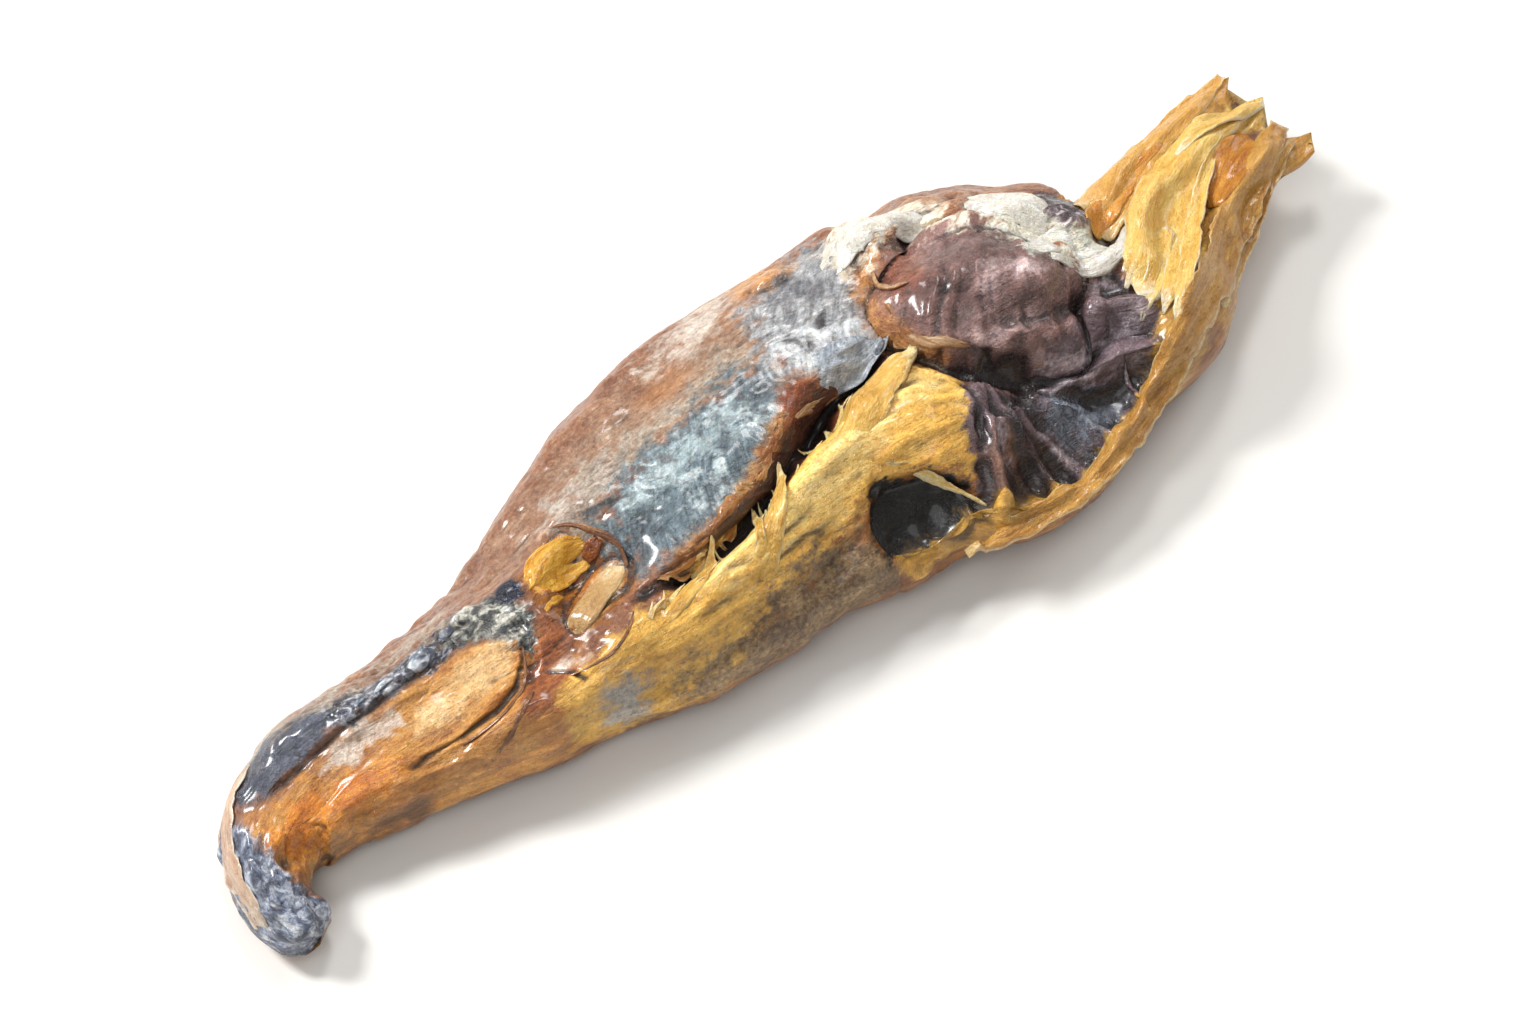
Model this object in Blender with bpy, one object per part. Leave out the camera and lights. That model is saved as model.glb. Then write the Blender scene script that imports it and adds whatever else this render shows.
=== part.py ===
"""A dried fish without its head, lying on its side with the torn, opened side up.

The tail stub is at -X and the torn neck, with its fan of dried flesh, at +X. The back is towards +Y
and the belly towards -Y. The floor is z = 0 and the origin is at the middle of the base.
The shape is worked out in millimetres and written in metres.
"""

import bpy
import numpy as np

MM = 0.001

# The body as a tube along its middle line. Each row is one station, in millimetres:
# x and y of the middle line, half width, height of the underside, height of the crest.
STATIONS = (
    (-60.3, 0.3, 2.5, 1.4, 5.6),     # tip of the tail stub
    (-61.8, 3.2, 3.0, 0.8, 6.8),
    (-61.4, 7.0, 4.0, 0.4, 7.8),
    (-58.6, 10.3, 5.3, 0.2, 8.7),
    (-53.6, 11.6, 6.4, 0.0, 9.4),
    (-45.4, 10.8, 7.7, 0.0, 10.2),
    (-37.4, 9.8, 9.0, 0.0, 10.8),
    (-29.4, 9.4, 11.0, 0.0, 11.4),
    (-21.6, 9.7, 13.5, 0.0, 12.2),
    (-13.6, 9.8, 15.6, 0.0, 13.0),
    (-4.6, 10.0, 17.1, 0.0, 13.8),
    (5.2, 9.6, 18.0, 0.0, 14.2),
    (14.4, 8.0, 19.2, 0.0, 14.4),
    (21.8, 6.6, 19.5, 0.0, 14.4),
    (29.4, 5.5, 18.4, 0.0, 14.0),
    (36.8, 3.9, 15.7, 0.4, 13.2),
    (42.2, 2.5, 12.7, 1.2, 12.0),
    (47.6, 3.7, 9.2, 2.6, 10.8),
    (53.5, 5.7, 7.1, 4.4, 9.6),
    (59.5, 6.7, 6.8, 6.0, 9.2),
    (63.8, 7.0, 6.7, 7.1, 8.9),      # root of the fan's points
)
ROWS_ALONG = 106
POINTS_ACROSS = 22                   # on the upper side, and as many on the underside
RIM_SHARE = 0.38                     # the rim's height between underside and crest
PLUMPNESS = 0.74                     # under 1 gives full shoulders, 1 an ellipse
TIP_LENGTH = 2.2                     # the tail stub is rounded over this length
TIP_START = 0.3                      # and its first row is cut off here, so that it isn't a point
FOOT = 0.55                          # the underside is flat up to this height
EDGE_SWAY = 0.9                      # the outline strays by this much at most
RIM_FADE = 0.62                      # relief fades out below this share of the section's height
FAN_SHEET = 26.0                     # over this last length the underside follows the upper side
DRIFT = 1.2                          # lines and ovals stray by this much

# The fan's ragged end: across the fan from the belly side (-1) to the back (1), and how far it reaches.
FAN_POINTS = ((-1.0, 2.6), (-0.72, 4.2), (-0.45, 0.3), (-0.12, 1.2), (0.18, 3.4), (0.42, 0.2),
              (0.62, 0.9), (0.86, 3.2), (1.0, 0.6))
FAN_GROWTH = 22.0                    # the points grow out over this last length

# Raised and sunk lines on the upper side: points along the line, half width, rise.
BACK_RIDGE = ((-58.5, 14.2), (-53, 15.6), (-47.5, 14.0), (-42.5, 13.2), (-37, 13.6), (-32, 13.2),
              (-27.5, 12.7))
BELLY_FLAP = ((-46, 2.4), (-36, 1.2), (-27, 0.4), (-16, 0.3), (-9.5, 0.6), (-3.2, 0.9), (4.2, 2.4),
              (12.2, 4.4))
BELLY_RIM = ((5, -9.0), (11, -10.2), (18, -12.0), (24, -12.8), (30, -11.8), (36, -9.8), (40.5, -7.2),
             (44.5, -4.8), (49, -2.4))
BACK_RIM = ((19, 22.0), (24.7, 21.0), (29.3, 19.2), (33.5, 16.4), (36.6, 12.8), (38.6, 8.4), (40.6, 4.4))
SLIT = ((-18.4, 4.2), (-12.7, 3.8), (-5.8, 4.8), (-1, 5.8), (3.9, 7.9), (8.4, 9.6), (13.0, 9.4), (17.4, 8.8))
CHEEK_CRACK = ((-28.6, 11.4), (-30.4, 8.5), (-32.2, 5.5), (-36.3, 4.2), (-41.5, 4.2), (-46.7, 6.1))
STUB_NICK = ((-60.0, 6.2), (-57.6, 6.0), (-54.2, 5.6))
FLANK_TROUGH = ((-40, 17.0), (-26, 18.0), (-12, 20.5), (4, 22.0))
BELLY_TROUGH = ((-36, -1.2), (-20, -2.6), (-6, -4.2), (2, -5.4))
FOLDS = (
    ((24, 0.6), (29.5, -0.5), (35.8, -1.4), (41, -3.4)),
    ((24, -1.4), (29.3, -3.3), (33.9, -4.9), (37.8, -7.4)),
    ((23.4, -2.6), (26.8, -5.4), (29.1, -9.2), (29.6, -11.5)),
    ((22, -2.4), (20.6, -6.4), (21.4, -11.5)),
    ((19.4, -2.6), (16.6, -6.2), (14.4, -10.0)),
)
LEAVES = (
    ((42.8, 9.0), (48, 10.6), (53, 11.2), (57.5, 11.0), (64, 12.2)),
    ((40.6, -2.6), (43, 1.6), (46.4, 5.0), (52.2, 6.9), (57.9, 7.7), (64, 7.6)),
    ((43, -5.8), (47.6, -3.4), (53.3, 0.8), (59.6, 2.3), (65.6, 2.8)),
)
LINES = (
    (BACK_RIDGE, 1.8, 1.2),
    (BELLY_FLAP, 3.2, 2.2),
    (BELLY_RIM, 2.1, 2.4),
    (BACK_RIM, 2.4, 2.0),
    (SLIT, 1.9, -4.2),
    (CHEEK_CRACK, 1.0, -1.6),
    (STUB_NICK, 1.2, -1.4),
    (FLANK_TROUGH, 2.6, -0.9),
    (BELLY_TROUGH, 2.0, -1.0),
    *((fold, 1.3, 2.2) for fold in FOLDS),
    *((leaf, 1.6, 1.4) for leaf in LEAVES),
)

# Domes have a steep edge with a groove round it, and bells an even slope. Both are ovals:
# centre x and y, half length, half width, turn in degrees, rise.
DOMES = (
    (27.0, 7.0, 10.2, 7.9, -42, 3.8),       # shrunken innards
    (-21.2, 7.5, 4.4, 1.9, 26, 1.5),        # tan lobe in the torn spot
    (-22.0, 12.7, 3.5, 1.6, 24, 1.2),       # gold lobe in the torn spot
    (-37.6, 8.5, 6.2, 2.1, 8, 0.5),         # bare oblong of flesh
)
DOME_GROOVE = 0.35                   # depth of the groove, as a share of the dome's rise
BELLS = (
    (27.0, -5.2, 16.0, 9.0, 20, -5.0),      # torn belly cavity
    (20.0, -14.0, 30.0, 8.0, 3, -2.2),      # the belly side slopes down at the wide end
    (13.4, 0.2, 6.8, 5.6, 10, 1.8),         # block of flesh at the flap's end
    (6.4, 8.4, 5.6, 3.4, 55, -2.4),         # hole under the torn skin
    (-20.6, 10.2, 7.0, 5.8, 20, -2.8),      # torn spot behind the back ridge
    (7.2, -6.2, 5.4, 4.4, 70, -1.8),        # dark pit in the belly
    (14.0, 24.6, 2.6, 1.8, 0, 1.2),         # knob on the back
    (42.0, 6.4, 3.0, 2.0, 40, -1.4),        # hollow at the root of the fan
)
LIP_OVERHANG = 1.5                   # the skin's torn edge leans over the slit by this much
LIP_START = 1.2                      # the edge's distance from the slit's middle before it leans over
LIP_WIDTH = 3.4                      # and the width of skin that leans with it

SIDE_GROOVE = ((-50, 9), (-20, 9), (10, 8), (34, 5))    # the furrow between the muscles, below
SIDE_GROOVE_DEPTH = 1.3
SIDE_GROOVE_WIDTH = 3.2

MIDDLE = (1.5, 7.4)                  # middle of the outline, moved to the origin

BODY_COLOUR = (0.42, 0.26, 0.13, 1.0)
BODY_ROUGHNESS = 0.5


def smooth(x):
    """0 below 0, 1 above 1, and an even slope between them."""
    x = np.clip(x, 0.0, 1.0)
    return x * x * (3.0 - 2.0 * x)


def through(stations, at):
    """Reads a smooth curve through the stations at the given distances along it."""
    rows = np.array(stations, float)
    steps = np.linalg.norm(np.diff(rows[:, :2], axis=0), axis=1)
    knots = np.concatenate([[0.0], np.cumsum(steps)])
    slopes = np.gradient(rows, knots, axis=0)
    k = np.clip(np.searchsorted(knots, at, side="right") - 1, 0, len(knots) - 2)
    span = (knots[k + 1] - knots[k])[:, None]
    t = ((at - knots[k])[:, None]) / span
    near = (1 + 2 * t) * (1 - t) ** 2 * rows[k] + t * (1 - t) ** 2 * span * slopes[k]
    far = t * t * (3 - 2 * t) * rows[k + 1] + t * t * (t - 1) * span * slopes[k + 1]
    return near + far, knots[-1]


def value_noise(points, size, seed):
    """Smooth noise from -1 to 1 whose lumps are about size across. size may differ by axis."""
    q = points / np.asarray(size, float)
    cell = np.floor(q).astype(np.int64)
    f = q - cell
    f = f * f * (3.0 - 2.0 * f)
    total = np.zeros(len(points))
    for corner in range(8):
        step = np.array([corner & 1, corner >> 1 & 1, corner >> 2 & 1])
        c = (cell + step).astype(np.uint32)
        h = c[:, 0] * np.uint32(374761393) + c[:, 1] * np.uint32(668265263) + c[:, 2] * np.uint32(2246822519)
        h = (h + np.uint32(seed * 3266489 + 12345)) * np.uint32(2654435761)
        h = (h ^ (h >> np.uint32(15))) * np.uint32(2246822519)
        h ^= h >> np.uint32(13)
        share = np.where(step, f, 1.0 - f).prod(axis=1)
        total += share * ((h & np.uint32(0xFFFF)) / 32767.5 - 1.0)
    return total


def lumps(points, large, small, seed):
    """Shrunken flesh: lumps drawn out along the fish, of a large and a small size."""
    rise = large * value_noise(points, (9.0, 4.5, 6.0), seed)
    return rise + small * value_noise(points, (4.5, 2.4, 3.0), seed + 1)


def from_line(x, y, points):
    """Distance from a broken line, and how far along it the nearest place is, from 0 to 1."""
    p = np.array(points, float)
    best = np.full(len(x), 1e9)
    along = np.zeros(len(x))
    lengths = np.linalg.norm(np.diff(p, axis=0), axis=1)
    start = 0.0
    for a, b, length in zip(p[:-1], p[1:], lengths):
        t = np.clip(((x - a[0]) * (b[0] - a[0]) + (y - a[1]) * (b[1] - a[1])) / length**2, 0, 1)
        d = np.hypot(x - a[0] - t * (b[0] - a[0]), y - a[1] - t * (b[1] - a[1]))
        along = np.where(d < best, (start + t * length) / lengths.sum(), along)
        best = np.minimum(best, d)
        start += length
    return best, along


def in_oval(x, y, cx, cy, half_length, half_width, turn):
    """0 at the centre of a turned oval, 1 at its edge."""
    c, s = np.cos(np.radians(turn)), np.sin(np.radians(turn))
    a = ((x - cx) * c + (y - cy) * s) / half_length
    b = (-(x - cx) * s + (y - cy) * c) / half_width
    return np.hypot(a, b)


def upper_relief(x, y, points):
    """Rise of the upper side in millimetres, at each place seen from above."""
    wx = x + DRIFT * value_noise(points, 6.0, 1)
    wy = y + DRIFT * value_noise(points, 6.0, 2)
    rise = np.zeros(len(x))
    for line, half_width, height in LINES:
        far, along = from_line(wx, wy, line)
        ends = 0.2 + 0.8 * smooth(along * 7.0) * smooth((1.0 - along) * 7.0)
        rise += height * ends * smooth(1.0 - far / (1.7 * half_width))
    for *oval, height in BELLS:
        rise += height * smooth(1.25 * (1.0 - in_oval(wx, wy, *oval)))
    for *oval, height in DOMES:
        out = in_oval(wx, wy, *oval)
        rise += height * np.sqrt(np.clip(1.0 - out**2, 0.0, 1.0))
        rise -= DOME_GROOVE * height * smooth(1.0 - np.abs(out - 1.06) / 0.16)
    return rise + lumps(points, 0.7, 0.3, 5)


def lower_relief(x, y, points):
    """Rise of the underside in millimetres; the foot is cut flat afterwards."""
    far, _ = from_line(x, y, SIDE_GROOVE)
    return SIDE_GROOVE_DEPTH * smooth(1.0 - far / SIDE_GROOVE_WIDTH) + lumps(points, 0.9, 0.4, 7)


def edge_noise(at, side):
    """How far the outline strays from the stations, from -1 to 1, each side in its own way."""
    at, side = np.broadcast_arrays(at[:, None], side)
    places = np.stack([at, 40.0 * side, np.zeros(at.shape)], axis=2).reshape(-1, 3)
    strays = 0.7 * value_noise(places, 8.5, 11) + 0.3 * value_noise(places, 3.1, 12)
    return strays.reshape(at.shape)


def surface():
    """The fish's surface as rings of points, row by row from the tail stub to the fan."""
    _, length = through(STATIONS, np.zeros(1))
    at = np.linspace(0.0, length, ROWS_ALONG)
    rows, _ = through(STATIONS, at)
    tangent = np.gradient(rows[:, :2], axis=0)
    tangent /= np.linalg.norm(tangent, axis=1)[:, None]
    normal = np.stack([-tangent[:, 1], tangent[:, 0]], axis=1)
    tip = np.sqrt(1.0 - (1.0 - np.clip((at + TIP_START) / TIP_LENGTH, 0, 1)) ** 2)[:, None]

    t = np.linspace(0.0, 1.0, POINTS_ACROSS + 1)
    across = 0.5 * np.cos(np.pi * t) + 0.5 * (1.0 - 2.0 * t)
    across = np.concatenate([across[:-1], -across[:-1]])[None, :]
    side = np.where(np.arange(2 * POINTS_ACROSS) < POINTS_ACROSS, 1.0, -1.0)[None, :]
    lift = (1.0 - across**2) ** (0.5 * PLUMPNESS) * np.ones((ROWS_ALONG, 1))

    under, crest = rows[:, 3:4], rows[:, 4:5]
    rim = under + RIM_SHARE * (crest - under)
    spread = rows[:, 2:3] * tip * across
    outward = np.sign(across) * np.abs(across) ** 3
    spread += EDGE_SWAY * outward * edge_noise(at, np.sign(across))
    reach = np.interp(across, *np.array(FAN_POINTS).T)
    reach = reach * smooth((at - length + FAN_GROWTH) / FAN_GROWTH)[:, None] ** 1.5
    x = rows[:, 0:1] + normal[:, 0:1] * spread + tangent[:, 0:1] * reach
    y = rows[:, 1:2] + normal[:, 1:2] * spread + tangent[:, 1:2] * reach
    z = rim + tip * lift * np.where(side > 0, crest - rim, under - rim)

    flat = np.stack([x, y, z], axis=2).reshape(-1, 3)
    upper = np.broadcast_to(side > 0, x.shape).reshape(-1)
    inside = (smooth(lift / RIM_FADE) * tip).reshape(-1)
    in_fan = np.broadcast_to(smooth((at - length + FAN_SHEET) / FAN_SHEET)[:, None], x.shape).reshape(-1)
    above = upper_relief(flat[:, 0], flat[:, 1], flat)
    below = lower_relief(flat[:, 0], flat[:, 1], flat)
    flat[:, 2] += inside * np.where(upper, above, below + in_fan * (above - below))
    lean_over_slit(flat, upper)
    flat[:, 2] = np.maximum(flat[:, 2], FOOT)
    flat[:, 2] -= flat[:, 2].min()
    flat[:, :2] -= MIDDLE
    return flat


def lean_over_slit(flat, upper):
    """Moves the skin's torn edge sideways, so that it hangs a little over the slit."""
    far, along = from_line(flat[:, 0], flat[:, 1], SLIT)
    middle_y = np.interp(flat[:, 0], *np.array(SLIT, float).T)
    skin_side = upper & (flat[:, 1] > middle_y)
    near = smooth(far / LIP_START) * smooth(1.0 - (far - LIP_START) / LIP_WIDTH)
    near *= smooth(along * 8.0) * smooth((1.0 - along) * 8.0)
    flat[:, 1] -= np.where(skin_side, LIP_OVERHANG * near, 0.0)


def faces_of():
    """Quads round each ring, a fan of triangles on the tail stub and a strip across the fan's end."""
    ring = 2 * POINTS_ACROSS
    faces = []
    for row in range(ROWS_ALONG - 1):
        for k in range(ring):
            a, b = row * ring + k, row * ring + (k + 1) % ring
            faces.append((a, b, b + ring, a + ring))
    last = (ROWS_ALONG - 1) * ring
    for k in range(POINTS_ACROSS):
        a, b = k, k + 1
        c, d = ring - k - 1, (ring - k) % ring
        near_end, far_end = (a, d) if a != d else (a,), (b, c) if b != c else (b,)
        faces.append(tuple(reversed((*near_end[:1], *far_end, *near_end[1:]))))
        faces.append(tuple(last + v for v in (*near_end[:1], *far_end, *near_end[1:])))
    return faces


def skin_material():
    material = bpy.data.materials.new("dried_fish")
    material.use_nodes = True
    shader = material.node_tree.nodes["Principled BSDF"]
    shader.inputs["Base Color"].default_value = BODY_COLOUR
    shader.inputs["Roughness"].default_value = BODY_ROUGHNESS
    shader.inputs["Metallic"].default_value = 0.0
    return material


def build():
    for old in list(bpy.data.objects):
        bpy.data.objects.remove(old)
    mesh = bpy.data.meshes.new("dried_fish")
    mesh.from_pydata((surface() * MM).tolist(), [], faces_of())
    mesh.shade_smooth()
    mesh.materials.append(skin_material())
    fish = bpy.data.objects.new("dried_fish", mesh)
    bpy.context.scene.collection.objects.link(fish)


build()
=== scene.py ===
"""The looks of the dried fish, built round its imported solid.

The form is worked out in millimetres with the same values as the solid, on a finer grid and with
fine relief, and is written in metres. Regions of colour are outlines on the fish's upper side.
"""

import math

import bpy
import numpy as np
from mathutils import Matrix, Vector
from mathutils.kdtree import KDTree


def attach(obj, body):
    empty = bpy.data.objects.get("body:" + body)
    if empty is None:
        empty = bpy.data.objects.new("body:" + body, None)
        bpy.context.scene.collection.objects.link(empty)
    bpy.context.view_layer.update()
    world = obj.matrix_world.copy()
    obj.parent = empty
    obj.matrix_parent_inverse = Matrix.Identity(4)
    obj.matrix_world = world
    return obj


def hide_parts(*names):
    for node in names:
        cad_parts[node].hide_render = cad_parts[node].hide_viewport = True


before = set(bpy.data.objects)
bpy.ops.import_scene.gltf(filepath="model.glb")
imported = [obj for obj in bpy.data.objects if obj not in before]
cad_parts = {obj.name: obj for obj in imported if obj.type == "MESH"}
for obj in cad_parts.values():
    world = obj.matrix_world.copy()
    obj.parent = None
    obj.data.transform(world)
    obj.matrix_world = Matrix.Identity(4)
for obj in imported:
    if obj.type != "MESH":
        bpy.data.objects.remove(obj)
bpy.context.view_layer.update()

MM = 0.001

# The body as a tube along its middle line. Each row is one station, in millimetres:
# x and y of the middle line, half width, height of the underside, height of the crest.
STATIONS = (
    (-60.3, 0.3, 2.5, 1.4, 5.6),     # tip of the tail stub
    (-61.8, 3.2, 3.0, 0.8, 6.8),
    (-61.4, 7.0, 4.0, 0.4, 7.8),
    (-58.6, 10.3, 5.3, 0.2, 8.7),
    (-53.6, 11.6, 6.4, 0.0, 9.4),
    (-45.4, 10.8, 7.7, 0.0, 10.2),
    (-37.4, 9.8, 9.0, 0.0, 10.8),
    (-29.4, 9.4, 11.0, 0.0, 11.4),
    (-21.6, 9.7, 13.5, 0.0, 12.2),
    (-13.6, 9.8, 15.6, 0.0, 13.0),
    (-4.6, 10.0, 17.1, 0.0, 13.8),
    (5.2, 9.6, 18.0, 0.0, 14.2),
    (14.4, 8.0, 19.2, 0.0, 14.4),
    (21.8, 6.6, 19.5, 0.0, 14.4),
    (29.4, 5.5, 18.4, 0.0, 14.0),
    (36.8, 3.9, 15.7, 0.4, 13.2),
    (42.2, 2.5, 12.7, 1.2, 12.0),
    (47.6, 3.7, 9.2, 2.6, 10.8),
    (53.5, 5.7, 7.1, 4.4, 9.6),
    (59.5, 6.7, 6.8, 6.0, 9.2),
    (63.8, 7.0, 6.7, 7.1, 8.9),      # root of the fan's points
)
RIM_SHARE = 0.38                     # the rim's height between underside and crest
PLUMPNESS = 0.74                     # under 1 gives full shoulders, 1 an ellipse
TIP_LENGTH = 2.2                     # the tail stub is rounded over this length
TIP_START = 0.3                      # and its first row is cut off here, so that it isn't a point
FOOT = 0.55                          # the underside is flat up to this height
EDGE_SWAY = 0.9                      # the outline strays by this much at most
RIM_FADE = 0.62                      # relief fades out below this share of the section's height
FAN_SHEET = 26.0                     # over this last length the underside follows the upper side
DRIFT = 1.2                          # lines and ovals stray by this much
DRIFT_SIZE = 6.0                     # over about this distance

# The fan's ragged end: across the fan from the belly side (-1) to the back (1), and how far it reaches.
FAN_POINTS = ((-1.0, 2.6), (-0.72, 4.2), (-0.45, 0.3), (-0.12, 1.2), (0.18, 3.4), (0.42, 0.2),
              (0.62, 0.9), (0.86, 3.2), (1.0, 0.6))
FAN_GROWTH = 22.0                    # the points grow out over this last length

# Raised and sunk lines on the upper side: points along the line, half width, rise.
BACK_RIDGE = ((-58.5, 14.2), (-53, 15.6), (-47.5, 14.0), (-42.5, 13.2), (-37, 13.6), (-32, 13.2),
              (-27.5, 12.7))
BELLY_FLAP = ((-46, 2.4), (-36, 1.2), (-27, 0.4), (-16, 0.3), (-9.5, 0.6), (-3.2, 0.9), (4.2, 2.4),
              (12.2, 4.4))
BELLY_RIM = ((5, -9.0), (11, -10.2), (18, -12.0), (24, -12.8), (30, -11.8), (36, -9.8), (40.5, -7.2),
             (44.5, -4.8), (49, -2.4))
BACK_RIM = ((19, 22.0), (24.7, 21.0), (29.3, 19.2), (33.5, 16.4), (36.6, 12.8), (38.6, 8.4), (40.6, 4.4))
SLIT = ((-18.4, 4.2), (-12.7, 3.8), (-5.8, 4.8), (-1, 5.8), (3.9, 7.9), (8.4, 9.6), (13.0, 9.4),
        (17.4, 8.8))
CHEEK_CRACK = ((-28.6, 11.4), (-30.4, 8.5), (-32.2, 5.5), (-36.3, 4.2), (-41.5, 4.2), (-46.7, 6.1))
STUB_NICK = ((-60.0, 6.2), (-57.6, 6.0), (-54.2, 5.6))
FLANK_TROUGH = ((-40, 17.0), (-26, 18.0), (-12, 20.5), (4, 22.0))
BELLY_TROUGH = ((-36, -1.2), (-20, -2.6), (-6, -4.2), (2, -5.4))
FOLDS = (
    ((24, 0.6), (29.5, -0.5), (35.8, -1.4), (41, -3.4)),
    ((24, -1.4), (29.3, -3.3), (33.9, -4.9), (37.8, -7.4)),
    ((23.4, -2.6), (26.8, -5.4), (29.1, -9.2), (29.6, -11.5)),
    ((22, -2.4), (20.6, -6.4), (21.4, -11.5)),
    ((19.4, -2.6), (16.6, -6.2), (14.4, -10.0)),
)
LEAVES = (
    ((42.8, 9.0), (48, 10.6), (53, 11.2), (57.5, 11.0), (64, 12.2)),
    ((40.6, -2.6), (43, 1.6), (46.4, 5.0), (52.2, 6.9), (57.9, 7.7), (64, 7.6)),
    ((43, -5.8), (47.6, -3.4), (53.3, 0.8), (59.6, 2.3), (65.6, 2.8)),
)
LINE_REACH = 1.7                     # a line's slopes end at this many half widths from its middle
LINE_ENDS = 7.0                      # its height falls over one part in this many of its length
LINE_END_SHARE = 0.2                 # to this share at each end
LINES = (
    (BACK_RIDGE, 1.8, 1.2),
    (BELLY_FLAP, 3.2, 2.2),
    (BELLY_RIM, 2.1, 2.4),
    (BACK_RIM, 2.4, 2.0),
    (SLIT, 1.9, -4.2),
    (CHEEK_CRACK, 0.6, -0.5),
    (STUB_NICK, 1.2, -1.4),
    (FLANK_TROUGH, 2.6, -0.9),
    (BELLY_TROUGH, 2.0, -1.0),
    *((fold, 1.3, 2.2) for fold in FOLDS),
    *((leaf, 1.6, 1.4) for leaf in LEAVES),
)

# Domes have a steep edge with a groove round it, and bells an even slope. Both are ovals:
# centre x and y, half length, half width, turn in degrees, rise.
DOMES = (
    (27.0, 7.0, 10.2, 7.9, -42, 3.8),       # shrunken innards
    (-21.2, 7.5, 4.4, 1.9, 26, 0.7),        # tan lobe in the torn spot
    (-22.0, 12.7, 3.5, 1.6, 24, 0.4),       # gold lobe in the torn spot
    (-37.6, 8.5, 6.2, 2.1, 8, 0.12),        # bare oblong of flesh
)
DOME_GROOVE = 0.35                   # depth of the groove, as a share of the dome's rise
GROOVE_PLACE = 1.06                  # its middle and half width, as shares of the dome's size
GROOVE_WIDTH = 0.16
BELL_SLOPE = 1.25                    # over 1 gives a bell a flat middle
BELLS = (
    (27.0, -5.2, 16.0, 9.0, 20, -5.0),      # torn belly cavity
    (20.0, -14.0, 30.0, 8.0, 3, -2.2),      # the belly side slopes down at the wide end
    (13.4, 0.2, 6.8, 5.6, 10, 1.8),         # block of flesh at the flap's end
    (6.4, 8.4, 5.6, 3.4, 55, -2.4),         # hole under the torn skin
    (-20.6, 10.2, 7.0, 5.8, 20, -2.8),      # torn spot behind the back ridge
    (7.2, -6.2, 5.4, 4.4, 70, -1.8),        # dark pit in the belly
    (14.0, 24.6, 2.6, 1.8, 0, 1.2),         # knob on the back
    (42.0, 6.4, 3.0, 2.0, 40, -1.4),        # hollow at the root of the fan
    (23.2, 17.6, 4.6, 2.6, 25, 1.8),        # fat in the valley beside the innards
)
LIP_OVERHANG = 1.5                   # the skin's torn edge leans over the slit by this much
LIP_START = 1.2                      # the edge's distance from the slit's middle before it leans over
LIP_WIDTH = 3.4                      # and the width of skin that leans with it
LIP_ENDS = 8.0                       # the lean fades over one part in this many of the slit's length

SIDE_GROOVE = ((-50, 9), (-20, 9), (10, 8), (34, 5))    # the furrow between the muscles, below
SIDE_GROOVE_DEPTH = 1.3
SIDE_GROOVE_WIDTH = 3.2

# Lumps of shrunken flesh: rise of the large and of the small ones, and the seed.
LUMPS_ABOVE = (0.7, 0.3, 5)
LUMPS_BELOW = (0.9, 0.4, 7)
LARGE_LUMP = (9.0, 4.5, 6.0)
SMALL_LUMP = (4.5, 2.4, 3.0)

MIDDLE = (1.5, 7.4)                  # middle of the outline, moved to the origin


def smooth(x):
    """0 below 0, 1 above 1, and an even slope between them."""
    x = np.clip(x, 0.0, 1.0)
    return x * x * (3.0 - 2.0 * x)


def through(stations, at):
    """Reads a smooth curve through the stations at the given distances along it."""
    rows = np.array(stations, float)
    steps = np.linalg.norm(np.diff(rows[:, :2], axis=0), axis=1)
    knots = np.concatenate([[0.0], np.cumsum(steps)])
    slopes = np.gradient(rows, knots, axis=0)
    k = np.clip(np.searchsorted(knots, at, side="right") - 1, 0, len(knots) - 2)
    span = (knots[k + 1] - knots[k])[:, None]
    t = ((at - knots[k])[:, None]) / span
    near = (1 + 2 * t) * (1 - t) ** 2 * rows[k] + t * (1 - t) ** 2 * span * slopes[k]
    far = t * t * (3 - 2 * t) * rows[k + 1] + t * t * (t - 1) * span * slopes[k + 1]
    return near + far, knots[-1]


# Large odd numbers that scatter the cells of the noise.
SCATTER = np.array((374761393, 668265263, 2246822519), np.uint32)
LAST_SCATTER = np.uint32(2654435761)
SEED_STEP, SEED_START = 3266489, 12345


def value_noise(points, size, seed):
    """Smooth noise from -1 to 1 whose lumps are about size across. size may differ by axis."""
    q = points / np.asarray(size, float)
    cell = np.floor(q).astype(np.int64)
    f = q - cell
    f = f * f * (3.0 - 2.0 * f)
    total = np.zeros(len(points))
    for corner in range(8):
        step = np.array([corner & 1, corner >> 1 & 1, corner >> 2 & 1])
        h = ((cell + step).astype(np.uint32) * SCATTER).sum(axis=1, dtype=np.uint32)
        h = (h + np.uint32(seed * SEED_STEP + SEED_START)) * LAST_SCATTER
        h = (h ^ (h >> np.uint32(15))) * SCATTER[2]
        h ^= h >> np.uint32(13)
        share = np.where(step, f, 1.0 - f).prod(axis=1)
        total += share * ((h & np.uint32(0xFFFF)) / 32767.5 - 1.0)
    return total


def layered(points, layers):
    """Noises added up. Each has its height, the size of its lumps and its seed."""
    return sum(height * value_noise(points, size, seed) for height, size, seed in layers)


def lumps(points, large, small, seed):
    """Shrunken flesh: lumps drawn out along the fish, of a large and a small size."""
    return layered(points, ((large, LARGE_LUMP, seed), (small, SMALL_LUMP, seed + 1)))


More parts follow.
